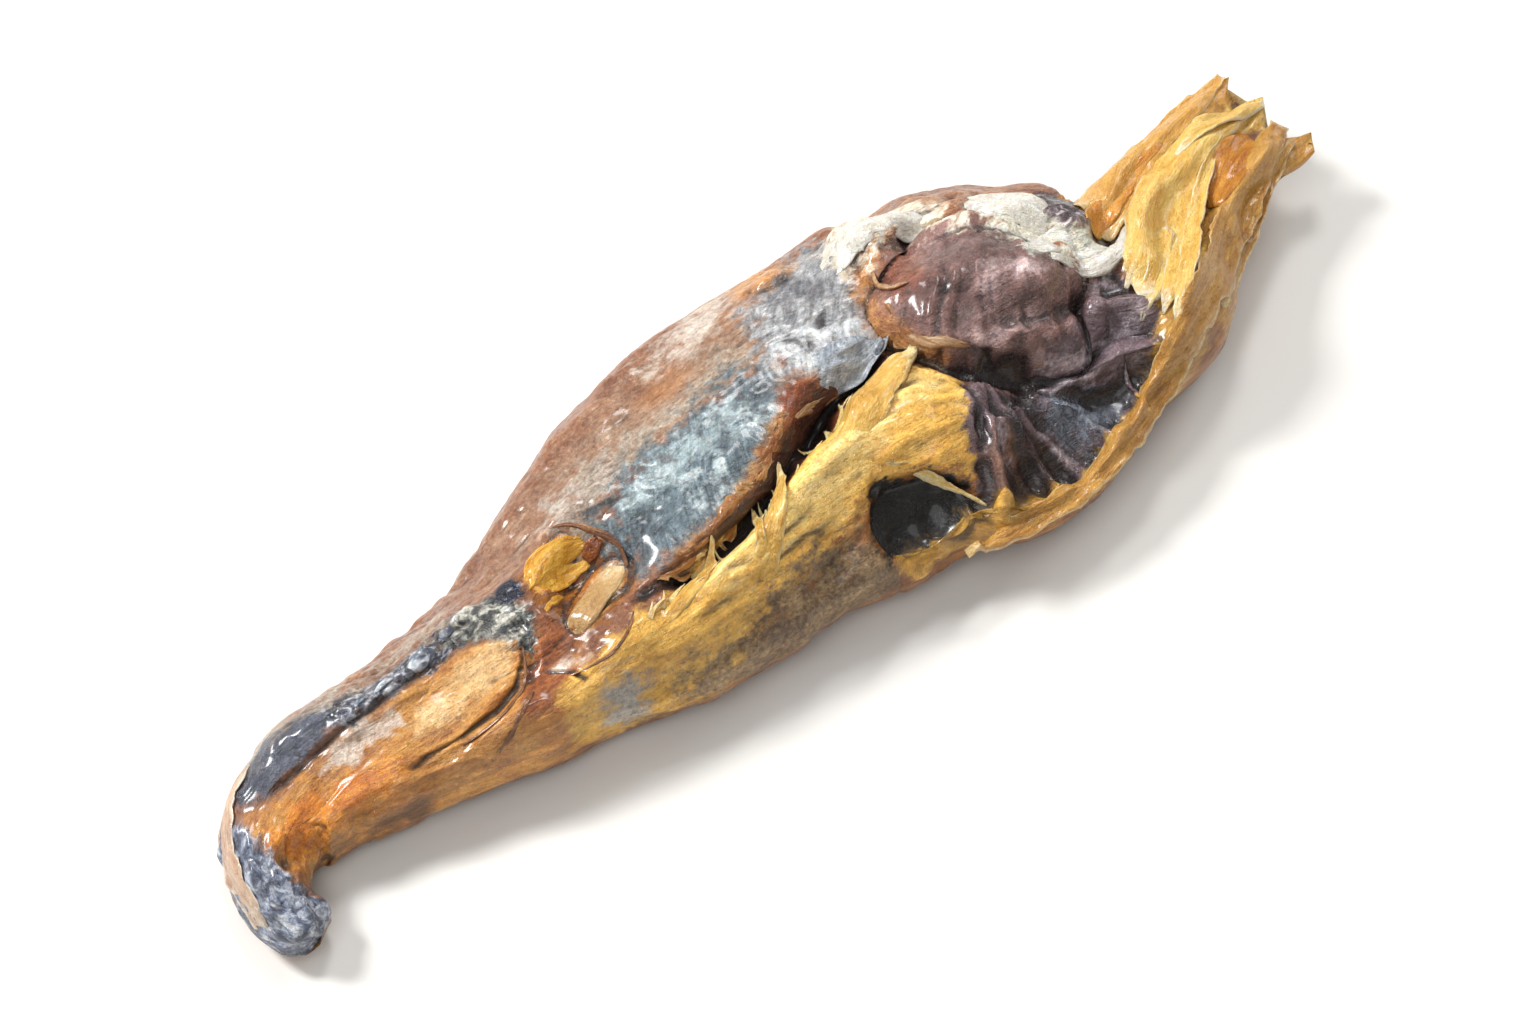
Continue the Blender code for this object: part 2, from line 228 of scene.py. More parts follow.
def from_line(x, y, points):
    """Distance from a broken line, and how far along it the nearest place is, from 0 to 1."""
    p = np.array(points, float)
    best = np.full(len(x), 1e9)
    along = np.zeros(len(x))
    lengths = np.linalg.norm(np.diff(p, axis=0), axis=1)
    start = 0.0
    for a, b, length in zip(p[:-1], p[1:], lengths):
        t = np.clip(((x - a[0]) * (b[0] - a[0]) + (y - a[1]) * (b[1] - a[1])) / length**2, 0, 1)
        d = np.hypot(x - a[0] - t * (b[0] - a[0]), y - a[1] - t * (b[1] - a[1]))
        along = np.where(d < best, (start + t * length) / lengths.sum(), along)
        best = np.minimum(best, d)
        start += length
    return best, along


def away_from_ends(along, parts):
    """0 at a line's two ends, rising to 1 over one part in so many of its length."""
    return smooth(along * parts) * smooth((1.0 - along) * parts)


def in_oval(x, y, cx, cy, half_length, half_width, turn):
    """0 at the centre of a turned oval, 1 at its edge."""
    c, s = np.cos(np.radians(turn)), np.sin(np.radians(turn))
    a = ((x - cx) * c + (y - cy) * s) / half_length
    b = (-(x - cx) * s + (y - cy) * c) / half_width
    return np.hypot(a, b)


def groove(out):
    """1 in the middle of the groove round an oval, where out is 1 at the oval's edge."""
    return smooth(1.0 - np.abs(out - GROOVE_PLACE) / GROOVE_WIDTH)


def upper_relief(x, y, points):
    """Rise of the upper side in millimetres, at each place seen from above."""
    wx = x + DRIFT * value_noise(points, DRIFT_SIZE, 1)
    wy = y + DRIFT * value_noise(points, DRIFT_SIZE, 2)
    rise = np.zeros(len(x))
    for line, half_width, height in LINES:
        far, along = from_line(wx, wy, line)
        ends = LINE_END_SHARE + (1.0 - LINE_END_SHARE) * away_from_ends(along, LINE_ENDS)
        rise += height * ends * smooth(1.0 - far / (LINE_REACH * half_width))
    for *oval, height in BELLS:
        rise += height * smooth(BELL_SLOPE * (1.0 - in_oval(wx, wy, *oval)))
    for *oval, height in DOMES:
        out = in_oval(wx, wy, *oval)
        rise += height * np.sqrt(np.clip(1.0 - out**2, 0.0, 1.0))
        rise -= DOME_GROOVE * height * groove(out)
    return rise + lumps(points, *LUMPS_ABOVE)


def lower_relief(x, y, points):
    """Rise of the underside in millimetres; the foot is cut flat afterwards."""
    far, _ = from_line(x, y, SIDE_GROOVE)
    return SIDE_GROOVE_DEPTH * smooth(1.0 - far / SIDE_GROOVE_WIDTH) + lumps(points, *LUMPS_BELOW)


# The fine grid of the body: rows from the tail stub to the fan, and points round each row.
ROWS = 560
POINTS_ABOVE = 138
POINTS_BELOW = 40
EDGE_NOISE = ((0.7, 8.5, 11), (0.3, 3.1, 12))
SIDES_APART = 40.0                   # so that the two sides of the outline stray in their own ways


def across_at(t):
    """Where a point lies across the body, from 1 at the back to -1 at the belly."""
    return 0.5 * np.cos(np.pi * t) + 0.5 * (1.0 - 2.0 * t)


def edge_noise(at, side):
    """How far the outline strays from the stations, from -1 to 1, each side in its own way."""
    at, side = np.broadcast_arrays(at[:, None], side)
    places = np.stack([at, SIDES_APART * side, np.zeros(at.shape)], axis=2).reshape(-1, 3)
    return layered(places, EDGE_NOISE).reshape(at.shape)


def plain_body():
    """The body's form as the solid has it.

    Returns the grid of places, the same places on a straightened fish, and which points are on the
    upper side.
    """
    _, length = through(STATIONS, np.zeros(1))
    at = np.linspace(0.0, length, ROWS)
    rows, _ = through(STATIONS, at)
    tangent = np.gradient(rows[:, :2], axis=0)
    tangent /= np.linalg.norm(tangent, axis=1)[:, None]
    normal = np.stack([-tangent[:, 1], tangent[:, 0]], axis=1)
    tip = np.sqrt(1.0 - (1.0 - np.clip((at + TIP_START) / TIP_LENGTH, 0, 1)) ** 2)[:, None]

    above = across_at(np.arange(POINTS_ABOVE) / POINTS_ABOVE)
    below = -across_at(np.arange(POINTS_BELOW) / POINTS_BELOW)
    across = np.concatenate([above, below])[None, :]
    up = np.arange(POINTS_ABOVE + POINTS_BELOW)[None, :] < POINTS_ABOVE
    lift = (1.0 - across**2) ** (0.5 * PLUMPNESS) * np.ones((ROWS, 1))

    under, crest = rows[:, 3:4], rows[:, 4:5]
    rim = under + RIM_SHARE * (crest - under)
    spread = rows[:, 2:3] * tip * across
    outward = np.sign(across) * np.abs(across) ** 3
    spread += EDGE_SWAY * outward * edge_noise(at, np.sign(across))
    reach = np.interp(across, *np.array(FAN_POINTS).T)
    reach = reach * smooth((at - length + FAN_GROWTH) / FAN_GROWTH)[:, None] ** 1.5
    x = rows[:, 0:1] + normal[:, 0:1] * spread + tangent[:, 0:1] * reach
    y = rows[:, 1:2] + normal[:, 1:2] * spread + tangent[:, 1:2] * reach
    z = rim + tip * lift * np.where(up, crest - rim, under - rim)

    flat = np.stack([x, y, z], axis=2).reshape(-1, 3)
    upper = np.broadcast_to(up, x.shape).reshape(-1)
    inside = (smooth(lift / RIM_FADE) * tip).reshape(-1)
    in_fan = np.broadcast_to(smooth((at - length + FAN_SHEET) / FAN_SHEET)[:, None], x.shape).reshape(-1)
    above = upper_relief(flat[:, 0], flat[:, 1], flat)
    below = lower_relief(flat[:, 0], flat[:, 1], flat)
    flat[:, 2] += inside * np.where(upper, above, below + in_fan * (above - below))
    lean_over_slit(flat, upper)
    flat[:, 2] = np.maximum(flat[:, 2], FOOT)
    flat[:, 2] -= flat[:, 2].min()
    straight = np.stack([at[:, None] + reach, spread, flat[:, 2].reshape(x.shape)], axis=2)
    return flat.reshape(*x.shape, 3), straight, upper.reshape(x.shape)


def lean_over_slit(flat, upper):
    """Moves the skin's torn edge sideways, so that it hangs a little over the slit."""
    far, along = from_line(flat[:, 0], flat[:, 1], SLIT)
    middle_y = np.interp(flat[:, 0], *np.array(SLIT, float).T)
    skin_side = upper & (flat[:, 1] > middle_y)
    near = smooth(far / LIP_START) * smooth(1.0 - (far - LIP_START) / LIP_WIDTH)
    near *= away_from_ends(along, LIP_ENDS)
    flat[:, 1] -= np.where(skin_side, LIP_OVERHANG * near, 0.0)


def normals_of(grid):
    """The outward direction at each point of the grid."""
    n = np.cross(np.roll(grid, -1, axis=1) - np.roll(grid, 1, axis=1), np.gradient(grid, axis=0))
    return n / np.maximum(np.linalg.norm(n, axis=2, keepdims=True), 1e-9)


def blurred(grid, reach):
    """Each point's neighbourhood, averaged over reach points each way."""
    total = sum(np.roll(grid, k, axis=1) for k in range(-reach, reach + 1)) / (2 * reach + 1)
    rows = np.arange(len(grid))
    parts = (total[np.clip(rows + k, 0, len(grid) - 1)] for k in range(-reach, reach + 1))
    return sum(parts) / (2 * reach + 1)


def hollowness(grid, normals, reach):
    """How deep each point lies below its neighbourhood, in millimetres. Crests are negative."""
    return np.einsum("ijk,ijk->ij", blurred(grid, reach) - grid, normals)


# Shapes on the upper side. Each gives the distance to its border, positive inside.
def patch(*points):
    """A closed outline."""
    def border(x, y):
        far, _ = from_line(x, y, points + points[:1])
        inside = np.zeros(len(x), bool)
        for (ax, ay), (bx, by) in zip(points, points[1:] + points[:1]):
            crosses = (ay > y) != (by > y)
            inside ^= crosses & (x < ax + (bx - ax) * (y - ay) / (by - ay if by != ay else 1e-9))
        return np.where(inside, far, -far)
    return border


def band(points, half_width):
    """A strip along a broken line."""
    def border(x, y):
        return half_width - from_line(x, y, points)[0]
    return border


def oval(cx, cy, half_length, half_width, turn=0.0):
    def border(x, y):
        return (1.0 - in_oval(x, y, cx, cy, half_length, half_width, turn)) * min(half_length, half_width)
    return border


def any_of(*borders):
    """Several shapes that look alike, as one region."""
    def border(x, y):
        return np.maximum.reduce([one(x, y) for one in borders])
    return border


# Regions of colour, painted in this order. Each has how soft and how ragged its border is in millimetres,
# the texture that picks among its colours, its roughness, its colours from dark to light, and its shape.
REGIONS = (
    ("belly_skin", 2.0, 2.2, "fibrous", 0.50, "4a260e 7d4a1e a9702e cf9f58",
     patch((-66, 12), (-58, 8.0), (-46, 5.0), (-34, 3.0), (-20, 2.0), (0, 3.0), (14, 5.0), (30, -4),
           (46, -2), (76, 2), (76, -30), (-70, -30))),
    ("back_pale", 3.0, 3.0, "grainy", 0.50, "6e4e38 93725a b09278 d6c6b2", oval(-3, 19, 20, 4.0, 5)),
    ("blotches", 1.2, 1.4, "smooth", 0.46, "7c4828 9e6a40 b6865e d0aa86",
     any_of(oval(-1.7, 21.0, 3.2, 2.0, 10), oval(7.5, 22.9, 2.4, 1.5))),
    ("bloom_low", 1.6, 2.6, "grainy", 0.42, "8d8178 b9b0a6 d6d0c8 f0eeea",
     oval(-13.5, 16.4, 5.5, 1.9, 8)),
    ("bloom_high", 1.6, 2.4, "grainy", 0.44, "947c6c b8a696 d0c2b4 ece6de",
     oval(4.5, 24.4, 5.0, 2.0, 8)),
    ("tail_gold", 1.2, 1.6, "fibrous", 0.40, "80481c b0722f cd9448 e6ba7c",
     patch((-62, 12), (-58, 11.8), (-52, 12.2), (-44, 11.6), (-34, 11.6), (-28, 9.0), (-26, 4),
           (-26, -1.0), (-33, -3.0), (-42, -0.6), (-50, 2.0), (-56, 4.0), (-60, 5.6))),
    ("tail_orange", 0.9, 1.3, "fibrous", 0.32, "a04e0c c97418 de922e f0b458",
     patch((-61.0, 8.4), (-56.2, 10.0), (-51.5, 9.0), (-46.6, 7.8), (-46.0, 6.2), (-50.0, 5.6),
           (-54.4, 6.2), (-58.5, 6.4))),
    ("rust", 0.9, 1.4, "grainy", 0.42, "47200c 7f4118 a86228 c98c4c",
     patch((-34.4, 2.4), (-32.6, 5.6), (-30.0, 7.6), (-27.5, 9.0), (-25.0, 8.0), (-26.4, 4.6),
           (-28.0, 1.5), (-31, 0.2))),
    ("white_band", 0.6, 1.1, "streaky", 0.40, "96785f c3ac98 dccbbc f1e8de",
     any_of(patch((-51.8, 10.8), (-49.9, 11.8), (-46.3, 11.6), (-43.2, 10.6), (-43.4, 9.0),
                  (-46.5, 9.6), (-49.3, 9.6)), oval(-27.4, 3.5, 1.6, 0.8, -30))),
    ("ridge_dark", 0.6, 1.0, "smooth", 0.30, "1a1b22 353844 5c606e 9b9fab",
     patch((-60.4, 14.0), (-57.6, 16.6), (-54, 17.4), (-49, 16.4), (-45.6, 14.8), (-45.8, 12.6),
           (-51.7, 12.8), (-57.5, 12.4))),
    # The pale beads are partly the ridge's own colour and partly painted glints.
    ("ridge_beads", 0.4, 1.0, "beaded", 0.24, "1c1d24 41444f 7d808c cfd0d4",
     band(((-47, 13.8), (-43, 13.3), (-38, 13.2), (-33, 13.4)), 1.6)),
    ("speckle", 0.5, 1.0, "beaded", 0.28, "2a2c30 62645f 9d9c93 e0ddd0",
     patch((-35.4, 12.6), (-33.6, 14.2), (-29.3, 13.6), (-27.4, 11.6), (-27.8, 8.6), (-29.8, 6.8),
           (-31.2, 9.0), (-33.1, 11.0))),
    # Slate-blue stub whose palest spots are painted glints.
    ("tail_stub", 0.7, 1.1, "beaded", 0.34, "363c4e 656d80 939aa8 c6c9d0",
     patch((-66, -2), (-67, 6), (-65.5, 12.0), (-61.4, 14.4), (-60.3, 10.6), (-60.4, 7), (-59.6, 4),
           (-58, 2), (-57, -3))),
    ("stub_rim", 0.5, 0.9, "fibrous", 0.45, "8f6a55 bd977c d6b79c ecdac6",
     band(((-68, 5), (-67.0, 9), (-65, 12.5), (-61.5, 16.2), (-57.5, 18.6)), 1.3)),
    ("bare_oblong", 1.0, 1.2, "smooth", 0.30, "bc8244 d8a868 e6c08a f2d8b0",
     patch((-43.0, 8.6), (-38.6, 9.9), (-34.4, 10.3), (-31.6, 9.4), (-31.8, 7.6), (-35.7, 6.4),
           (-39.7, 6.6), (-43.0, 7.3))),
    ("navy_spot", 0.25, 0.4, "smooth", 0.16, "04060c 0c1122 192142 3f507c",
     oval(-27.4, 12.8, 1.8, 1.3)),
    ("torn_spot", 0.4, 0.6, "fibrous", 0.34, "391a06 7a430e aa6a1e d39c4c",
     patch((-26.6, 10.6), (-26.4, 13.6), (-23.4, 15.2), (-18.8, 15.2), (-16.2, 12.0), (-16.2, 8.4),
           (-18.0, 5.8), (-22.8, 4.2), (-25.8, 5.2))),
    ("gold_lobe", 0.25, 0.4, "smooth", 0.20, "b0640a dc961a eeb43a fbdc7e",
     patch((-26.2, 11.6), (-25.4, 13.0), (-23.4, 14.4), (-20.2, 14.3), (-18.6, 13.2), (-19.7, 12.2),
           (-22.9, 11.2), (-25.4, 10.8))),
    ("tan_lobe", 0.3, 0.4, "smooth", 0.32, "a0703c bf935a d0a974 e2c79a",
     oval(-21.2, 7.5, 4.0, 1.7, 26)),
    ("silver_halo", 1.8, 3.2, "grainy", 0.40, "4a3a2c 8a7460 b4a694 e8e4dc",
     any_of(band(((-18.4, 13.6), (-14.0, 16.6), (-8.0, 17.0), (-2.0, 17.2), (4.4, 18.4)), 1.5),
            band(((6.6, 15.4), (6.0, 12.0), (3.4, 9.4)), 1.3),
            band(((-57.0, 18.2), (-50.0, 18.0), (-44.0, 15.8), (-34.0, 15.6)), 0.8))),
    ("silver_side", 1.8, 3.2, "streaky", 0.30, "222c32 49585f 72828a b8c3c4",
     patch((-17.2, 12.0), (-17.6, 6.6), (-15.0, 4.8), (-10.4, 4.4), (-5.1, 5.2), (-1.6, 6.4),
           (2.6, 8.0), (5.5, 10.9), (6.2, 14.7), (3.1, 17.0), (-0.4, 16.0), (-4.1, 16.0), (-8.1, 16.0),
           (-12.9, 15.6))),
    ("silver_brown", 0.8, 1.4, "grainy", 0.40, "5a3a1e 8d6234 b5894e d2b184",
     band(((-13, 4.6), (-7.6, 5.0), (-2.6, 6.4), (1.6, 8.2), (5.0, 10.4)), 0.9)),
    ("silver_core", 1.4, 2.4, "streaky", 0.26, "5f7078 93a4a8 bfccce eef3f2",
     band(((-12.5, 12.6), (-8.4, 13.0), (-3.4, 12.4), (1.0, 13.4)), 1.2)),
    ("silver_shade", 1.0, 1.6, "streaky", 0.34, "22282c 434c52 69737a 9aa4a6",
     any_of(oval(4.2, 13.4, 2.2, 1.6, 50), band(((-13.6, 10.2), (-14.6, 8.8), (-15.8, 6.4)), 0.9))),
    ("silver_dark", 0.6, 1.1, "streaky", 0.34, "141c22 36414a 5c686f 8c9898",
     any_of(band(((-5.4, 10.0), (-6.7, 7.6), (-7.8, 5.8)), 0.5),
            band(((-1.0, 13.0), (-2.8, 11.0), (-2.8, 8.6)), 0.3),
            band(((-13.8, 10.0), (-12.8, 8.0), (-12.6, 6.0)), 0.2))),
    # Pale strands of the silver skin, partly painted highlights.
    ("silver_light", 0.8, 1.6, "streaky", 0.24, "8c9aa0 afbcc0 cdd6d6 f0f4f2",
     any_of(band(((-4.6, 9.9), (-5.7, 7.5), (-6.8, 5.2)), 0.35),
            band(((-6.4, 10.5), (-8.3, 9.5), (-9.0, 7.4)), 0.35), oval(1.8, 11.6, 1.8, 0.5, -30))),
    ("silver_upper", 1.3, 2.6, "streaky", 0.30, "47464a 7c7d80 b0b0b0 eae9e6",
     patch((7.1, 18.0), (9.0, 21.5), (13.8, 25.2), (20.1, 25.6), (22.4, 22.0), (19.0, 16.4),
           (17.4, 11.3), (16.3, 8.8), (12.7, 9.1), (10.0, 9.2), (8.4, 11.0), (7.0, 13.6))),
    ("upper_light", 0.6, 1.2, "streaky", 0.26, "909698 b8bcbe d8dada f6f6f4",
     any_of(band(((8.2, 16.4), (9.0, 14.3), (10.1, 12.0)), 0.4),
            band(((11.2, 16.0), (12.6, 14.4), (14.6, 13.2), (16.2, 12.4)), 0.4))),
    ("upper_dark", 0.3, 0.6, "streaky", 0.34, "221e1c 3c3a3a 5c5a5c 88868a",
     any_of(oval(-15.8, 14.3, 1.9, 0.4, -15), oval(13.3, 15.4, 0.9, 0.5, 40),
            band(((9.7, 16.2), (10.2, 15.2), (11.0, 14.0)), 0.35),
            band(((13.6, 13.6), (12.9, 13.0), (12.4, 11.4)), 0.1))),
    ("upper_grey", 0.7, 1.2, "streaky", 0.32, "3c3c40 626266 88888c b4b4b4",
     oval(15.2, 19.8, 1.4, 2.6, 10)),
    ("back_orange", 0.9, 1.2, "smooth", 0.42, "8a5224 b07840 cc965e e4bf92",
     oval(13.6, 24.6, 3.2, 1.9)),
    ("slit_side", 0.7, 1.2, "fibrous", 0.38, "3a180a 6b3515 975824 c08a4a",
     patch((-17, 4.6), (-12, 4.8), (-7.4, 5.2), (-2.6, 6.6), (1.8, 8.6), (4.6, 11.0), (6.8, 12.8),
           (9.2, 10.6), (12.4, 8.8), (17, 9.0), (18, 7.4), (13, 7.0), (8, 5.8), (3, 4.4), (-3, 3.0),
           (-9, 2.6), (-15, 2.6))),
    ("hole", 0.5, 0.8, "fibrous", 0.38, "260d04 4f230e 74391a 9c6030",
     patch((5.4, 12.6), (8.6, 10.8), (10.2, 9.0), (7.6, 6.6), (2.4, 5.2), (-0.6, 5.4), (1.8, 7.6),
           (4.0, 9.8))),
    # Painted shade: holes in the slit's side, painted near black.
    ("slit_hole_shade", 0.35, 0.6, "fibrous", 0.40, "060201 140805 26110a 48241a",
     band(((-9.0, 3.9), (-5.7, 4.7), (-2.6, 5.2)), 0.55)),
    ("under_skin", 0.6, 0.7, "fibrous", 0.42, "140703 2b1309 48230e 74431e", band(SLIT, 0.9)),
    ("belly_flap", 0.7, 1.3, "fibrous", 0.32, "a8701e cf9a3c e2b455 f4d68c",
     patch((-31, 2.0), (-21, 2.6), (-15, 2.4), (-9.5, 2.8), (-3.2, 3.6), (2.6, 4.6), (7, 5.6),
           (13.4, 7.4), (17.6, 5.4), (19.8, 1.6), (18.6, -3), (15, -7.4), (10, -2.6), (5, -1.8),
           (0, -3.0), (-8, -4.6), (-16, -6.4), (-24, -5.4), (-32, -3.2))),
    # Painted highlight along the belly flap's crest.
    ("flap_crest_highlight", 1.6, 1.8, "fibrous", 0.28, "d4a44c eac470 f4d68e fdeebe",
     band(((-12, 1.2), (-6, 1.0), (0, 0.8), (6, 2.0), (12, 4.2), (16.6, 3.4)), 1.7)),
    ("grey_spot", 0.9, 1.4, "grainy", 0.42, "5c5450 8e867e b0a89e d4ccc0",
     oval(-25.8, -1.9, 2.2, 1.5, 10)),
    ("belly_mottle", 1.4, 2.8, "grainy", 0.38, "2e1d0d 65492a 9c8058 e0d2b8",
     patch((-21.2, -3.4), (-15.6, -3.6), (-9.2, -3.4), (-2.3, -2.6), (0.8, -3.4), (2.8, -5.4),
           (6.0, -10), (0, -12), (-11, -10), (-20, -7))),
    ("black_pit", 0.35, 1.3, "smooth", 0.34, "020101 070404 100a08 2c201a",
     any_of(patch((4.6, -2.6), (6.8, -2.0), (10.2, -3.6), (13.2, -6.8), (13.6, -9.8), (11.0, -12.0),
                  (6.0, -11.0), (2.6, -7.4), (3.0, -4.2)), oval(5.6, -2.4, 1.0, 0.8))),
    ("lining", 0.5, 1.2, "smooth", 0.26, "1e1416 4c3b40 746167 a8949a",
     patch((20.6, 3.4), (24.5, 0.8), (30.0, 0.0), (36.1, 2.2), (40.0, 2.0), (40.4, -2.8), (40.4, -6.2),
           (37.5, -8.4), (35.8, -9.4), (32.4, -10.8), (28.0, -12.2), (24.0, -13.4), (17.7, -13.0),
           (13.0, -11.4), (12.2, -9.3), (14.2, -6.7), (15.6, -3.0), (17.8, -0.4))),
    ("lining_brown", 1.2, 1.6, "smooth", 0.30, "28160f 583c33 866253 b28c7c",
     patch((15.6, -5.0), (20.0, -3.4), (22.6, -6.4), (22.4, -12.4), (16.6, -12.4), (13.6, -10))),
    # Painted highlight: a blue-grey glistening patch on the dark lining.
    ("lining_highlight", 1.3, 1.8, "streaky", 0.20, "2b2c34 545a66 868e9c c8ccd4",
     patch((25.4, -3.0), (30.4, -5.0), (33.0, -7.6), (29.5, -9.6), (24.4, -7.6))),
    ("lining_dark", 0.8, 1.0, "smooth", 0.20, "0c0709 1e1517 3a2e32 64565a",
     band(((22.9, 0.9), (22.5, -2.6), (21.0, -5.6), (21.4, -11.0)), 0.7)),
    # Painted highlights: pale wet glints along the lining's folds.
    ("fold_highlights", 0.5, 0.9, "streaky", 0.16, "5a4c52 8c7a82 bab0b6 eae2e6",
     any_of(band(((25.4, 0.0), (28.1, -0.6), (33.0, 0.8), (38.4, 1.2)), 0.3),
            band(((25.8, -1.5), (30.5, -1.9), (35.9, -2.9), (38.6, -3.6)), 0.35),
            band(((25.6, -2.9), (29.6, -4.5), (33.8, -6.0), (36.3, -7.5)), 0.35),
            band(((19.6, -3.8), (18.6, -5.4), (17.8, -7.4)), 0.3),
            band(((23.4, -5.6), (24.4, -8.4), (23.8, -11.0)), 0.25), oval(20.6, -9.0, 1.5, 0.5, 70))),
    ("innards", 0.9, 1.2, "smooth", 0.30, "3a2522 624540 84645f ae9089",
     patch((18.2, 10.6), (20.2, 16.6), (25.6, 18.8), (30.4, 16.0), (33.4, 11.8), (35.0, 6.8),
           (37.2, 3.0), (36.4, 0.8), (30.0, -1.2), (23.8, -1.6), (19.4, 1.4), (18.0, 6.0))),
    ("innards_edge", 0.7, 1.2, "fibrous", 0.32, "6a3816 96602e b88650 dcc098",
     band(((24.6, 18.6), (20.8, 17.4), (18.2, 14.4), (17.4, 10.8), (17.6, 7.4), (18.8, 4.6)), 0.9)),
    # Painted highlights: soft pale patches on the innards' folds.
    ("innards_highlights", 0.9, 1.3, "smooth", 0.26, "725452 a08280 c6acaa eadada",
     any_of(oval(30.6, 5.6, 2.0, 0.9, -20), oval(26.6, 6.0, 2.4, 1.0, 50),
            band(((22.6, 3.0), (25.8, 1.6), (29.4, 1.8)), 0.4))),
    ("innards_dark", 0.8, 1.2, "smooth", 0.28, "24100e 432a26 664640 94746e",
     band(((23.0, 9.4), (24.2, 6.6), (26.6, 3.8), (30.6, 2.8)), 0.5)),
    ("innards_red", 1.0, 1.2, "smooth", 0.34, "5a2c1c 824a36 a0705c c49e8c",
     oval(22.4, 13.8, 3.4, 2.0, 60)),
    ("cream_rim", 0.9, 2.2, "grainy", 0.42, "a08870 cdbda6 e6ddce f8f5ee",
     patch((18.6, 17.2), (19.8, 22.4), (24.1, 25.4), (27.6, 23.4), (31.6, 20.6), (31.8, 17.4),
           (30.8, 13.4), (27.8, 15.8), (25.8, 18.8), (22.6, 18.2))),
    ("cream_web", 0.8, 2.2, "grainy", 0.38, "8a8474 b8b4a4 dad8cc f4f4ee",
     patch((33.4, 16.0), (37.0, 14.8), (39.0, 11.5), (38.6, 9.0), (41.4, 6.6), (43.2, 4.9),
           (42.4, 1.2), (39.6, 1.8), (36.8, 4.6), (33.6, 7.0), (32.4, 11.2))),
    ("brown_top", 1.1, 1.6, "grainy", 0.45, "5a3620 8b5e40 ae8762 cdb08e",
     patch((27.0, 24.6), (31.6, 21.6), (35.4, 19.0), (37.0, 16.4), (34.3, 16.2), (31.6, 18.6),
           (28, 21.4))),
    # Dark patch whose whitish spots are painted glints.
    ("dark_top", 0.5, 0.9, "beaded", 0.24, "1d1519 423439 6c5d62 c9bfc2",
     patch((38.6, 14.8), (41.6, 14.2), (43.4, 11.6), (42.2, 8.0), (40.6, 6.6), (38.6, 7.8),
           (38.6, 11.0))),
    ("fan_orange", 0.5, 0.7, "fibrous", 0.36, "905614 c0862e d8a44e ecc684",
     patch((41.8, 8.6), (42.4, 12.4), (53, 15.6), (62, 15.6), (70, 17), (68, 10.4), (58, 9.8),
           (51, 9.2), (46.5, 6.8), (43.6, 5.2))),
    ("fan_yellow", 0.5, 0.7, "fibrous", 0.32, "b8822c d8a646 e8c066 f6de9c",
     patch((40.0, -4.0), (40.2, 1.0), (43.2, 4.6), (46.4, 7.2), (51, 9.4), (58, 10.0), (68, 10.6),
           (70, 5), (61, 6.4), (56.4, 6.0), (52.5, 2.8), (47.5, -2.0), (43.4, -5.2))),
    ("fan_brown", 0.5, 0.9, "fibrous", 0.38, "6f4314 a8742a c8963e e4bc70",
     patch((43.0, -5.8), (46, -1.8), (50.5, 2.2), (57, 4.6), (64, 5.0), (74, 5), (74, -4), (60, -4),
           (52, -7), (46, -9))),
    ("fan_hollow", 0.9, 0.9, "fibrous", 0.30, "6a3408 9c5c14 c0822c daa656",
     patch((59.4, 8.0), (62.0, 6.4), (60.8, 1.8), (56.0, 0.6), (53.6, 2.6), (55.8, 5.8))),
    ("ochre_rim", 0.5, 1.0, "fibrous", 0.36, "6f4816 a87a2a c99c46 e8c87e", band(BELLY_RIM, 2.2)),
)
BACK_SKIN = "522c1a 7d4e34 9b6b4a c29e80"
BACK_ROUGHNESS = 0.48
UNDERSIDE_DROP = 8.0                 # where the surface turns down, regions draw back by this much

# Cracks and creases, sunk and darkened with painted shade: points along the line, half width.
CRACKS = (
    (((-29.8, 8.6), (-31.0, 6.9), (-33.0, 5.3), (-36.1, 4.6), (-39.9, 4.6), (-43.4, 5.4),
      (-46.7, 6.0)), 0.20),
    # a painted shadow line along the belly side of the tail
    (((-58.6, 5.6), (-54, 5.0), (-50, 4.2), (-44, 2.8)), 0.35),
    # a painted shadow line in the groove below the back ridge
    (((-58.4, 12.2), (-52, 12.4), (-47, 12.0), (-42, 11.9), (-37, 11.8)), 0.35),
    (((-30.2, 5.0), (-28.6, 3.0), (-28.0, 0.6)), 0.22),
    (((20.6, 4.0), (22.8, 0.8), (27.0, -1.4)), 0.5),
    (((19.2, 1.8), (18.4, -1.6), (16.4, -4.4)), 0.35),
)


INNARDS = DOMES[0]
SLIT_WAY = (-0.75, -0.66)            # from the innards towards the slit
SLIT_REACH = 4.0                     # surfaces that turn down this near the slit keep their colours
INNARDS_REACH = 1.35                 # and so do those round the innards, up to this share of their oval
FACING_START = 0.35                  # a place faces the slit from here on, where 1 is straight at it
FACING_FADE = 0.4
TURN_START = 0.1                     # surfaces turn down where their normal's rise is under this
TURN_FADE = 0.7
FAN_START = 42.0                     # from here on the underside is coloured as the upper side
FAN_FADE = 6.0
FINE_REACH = 2                       # neighbourhoods in grid points, for how hollow a place is
WIDE_REACH = 8
REST_HEIGHT = 1.2                    # relief fades out below this height, where the fish rests
PIT_DEPTH = 1.7
CRACK_DEPTH = 0.4
CRACK_ENDS = 6.0                     # a crack fades over one part in this many of its length
SMOOTHER = 0.75                      # the bare oblong has this much less relief
GATHER = (21.5, 0.6)                 # the lining's folds spread from here
FOLD_RADIUS = 9.0                    # folds are as wide as they are at this distance from there

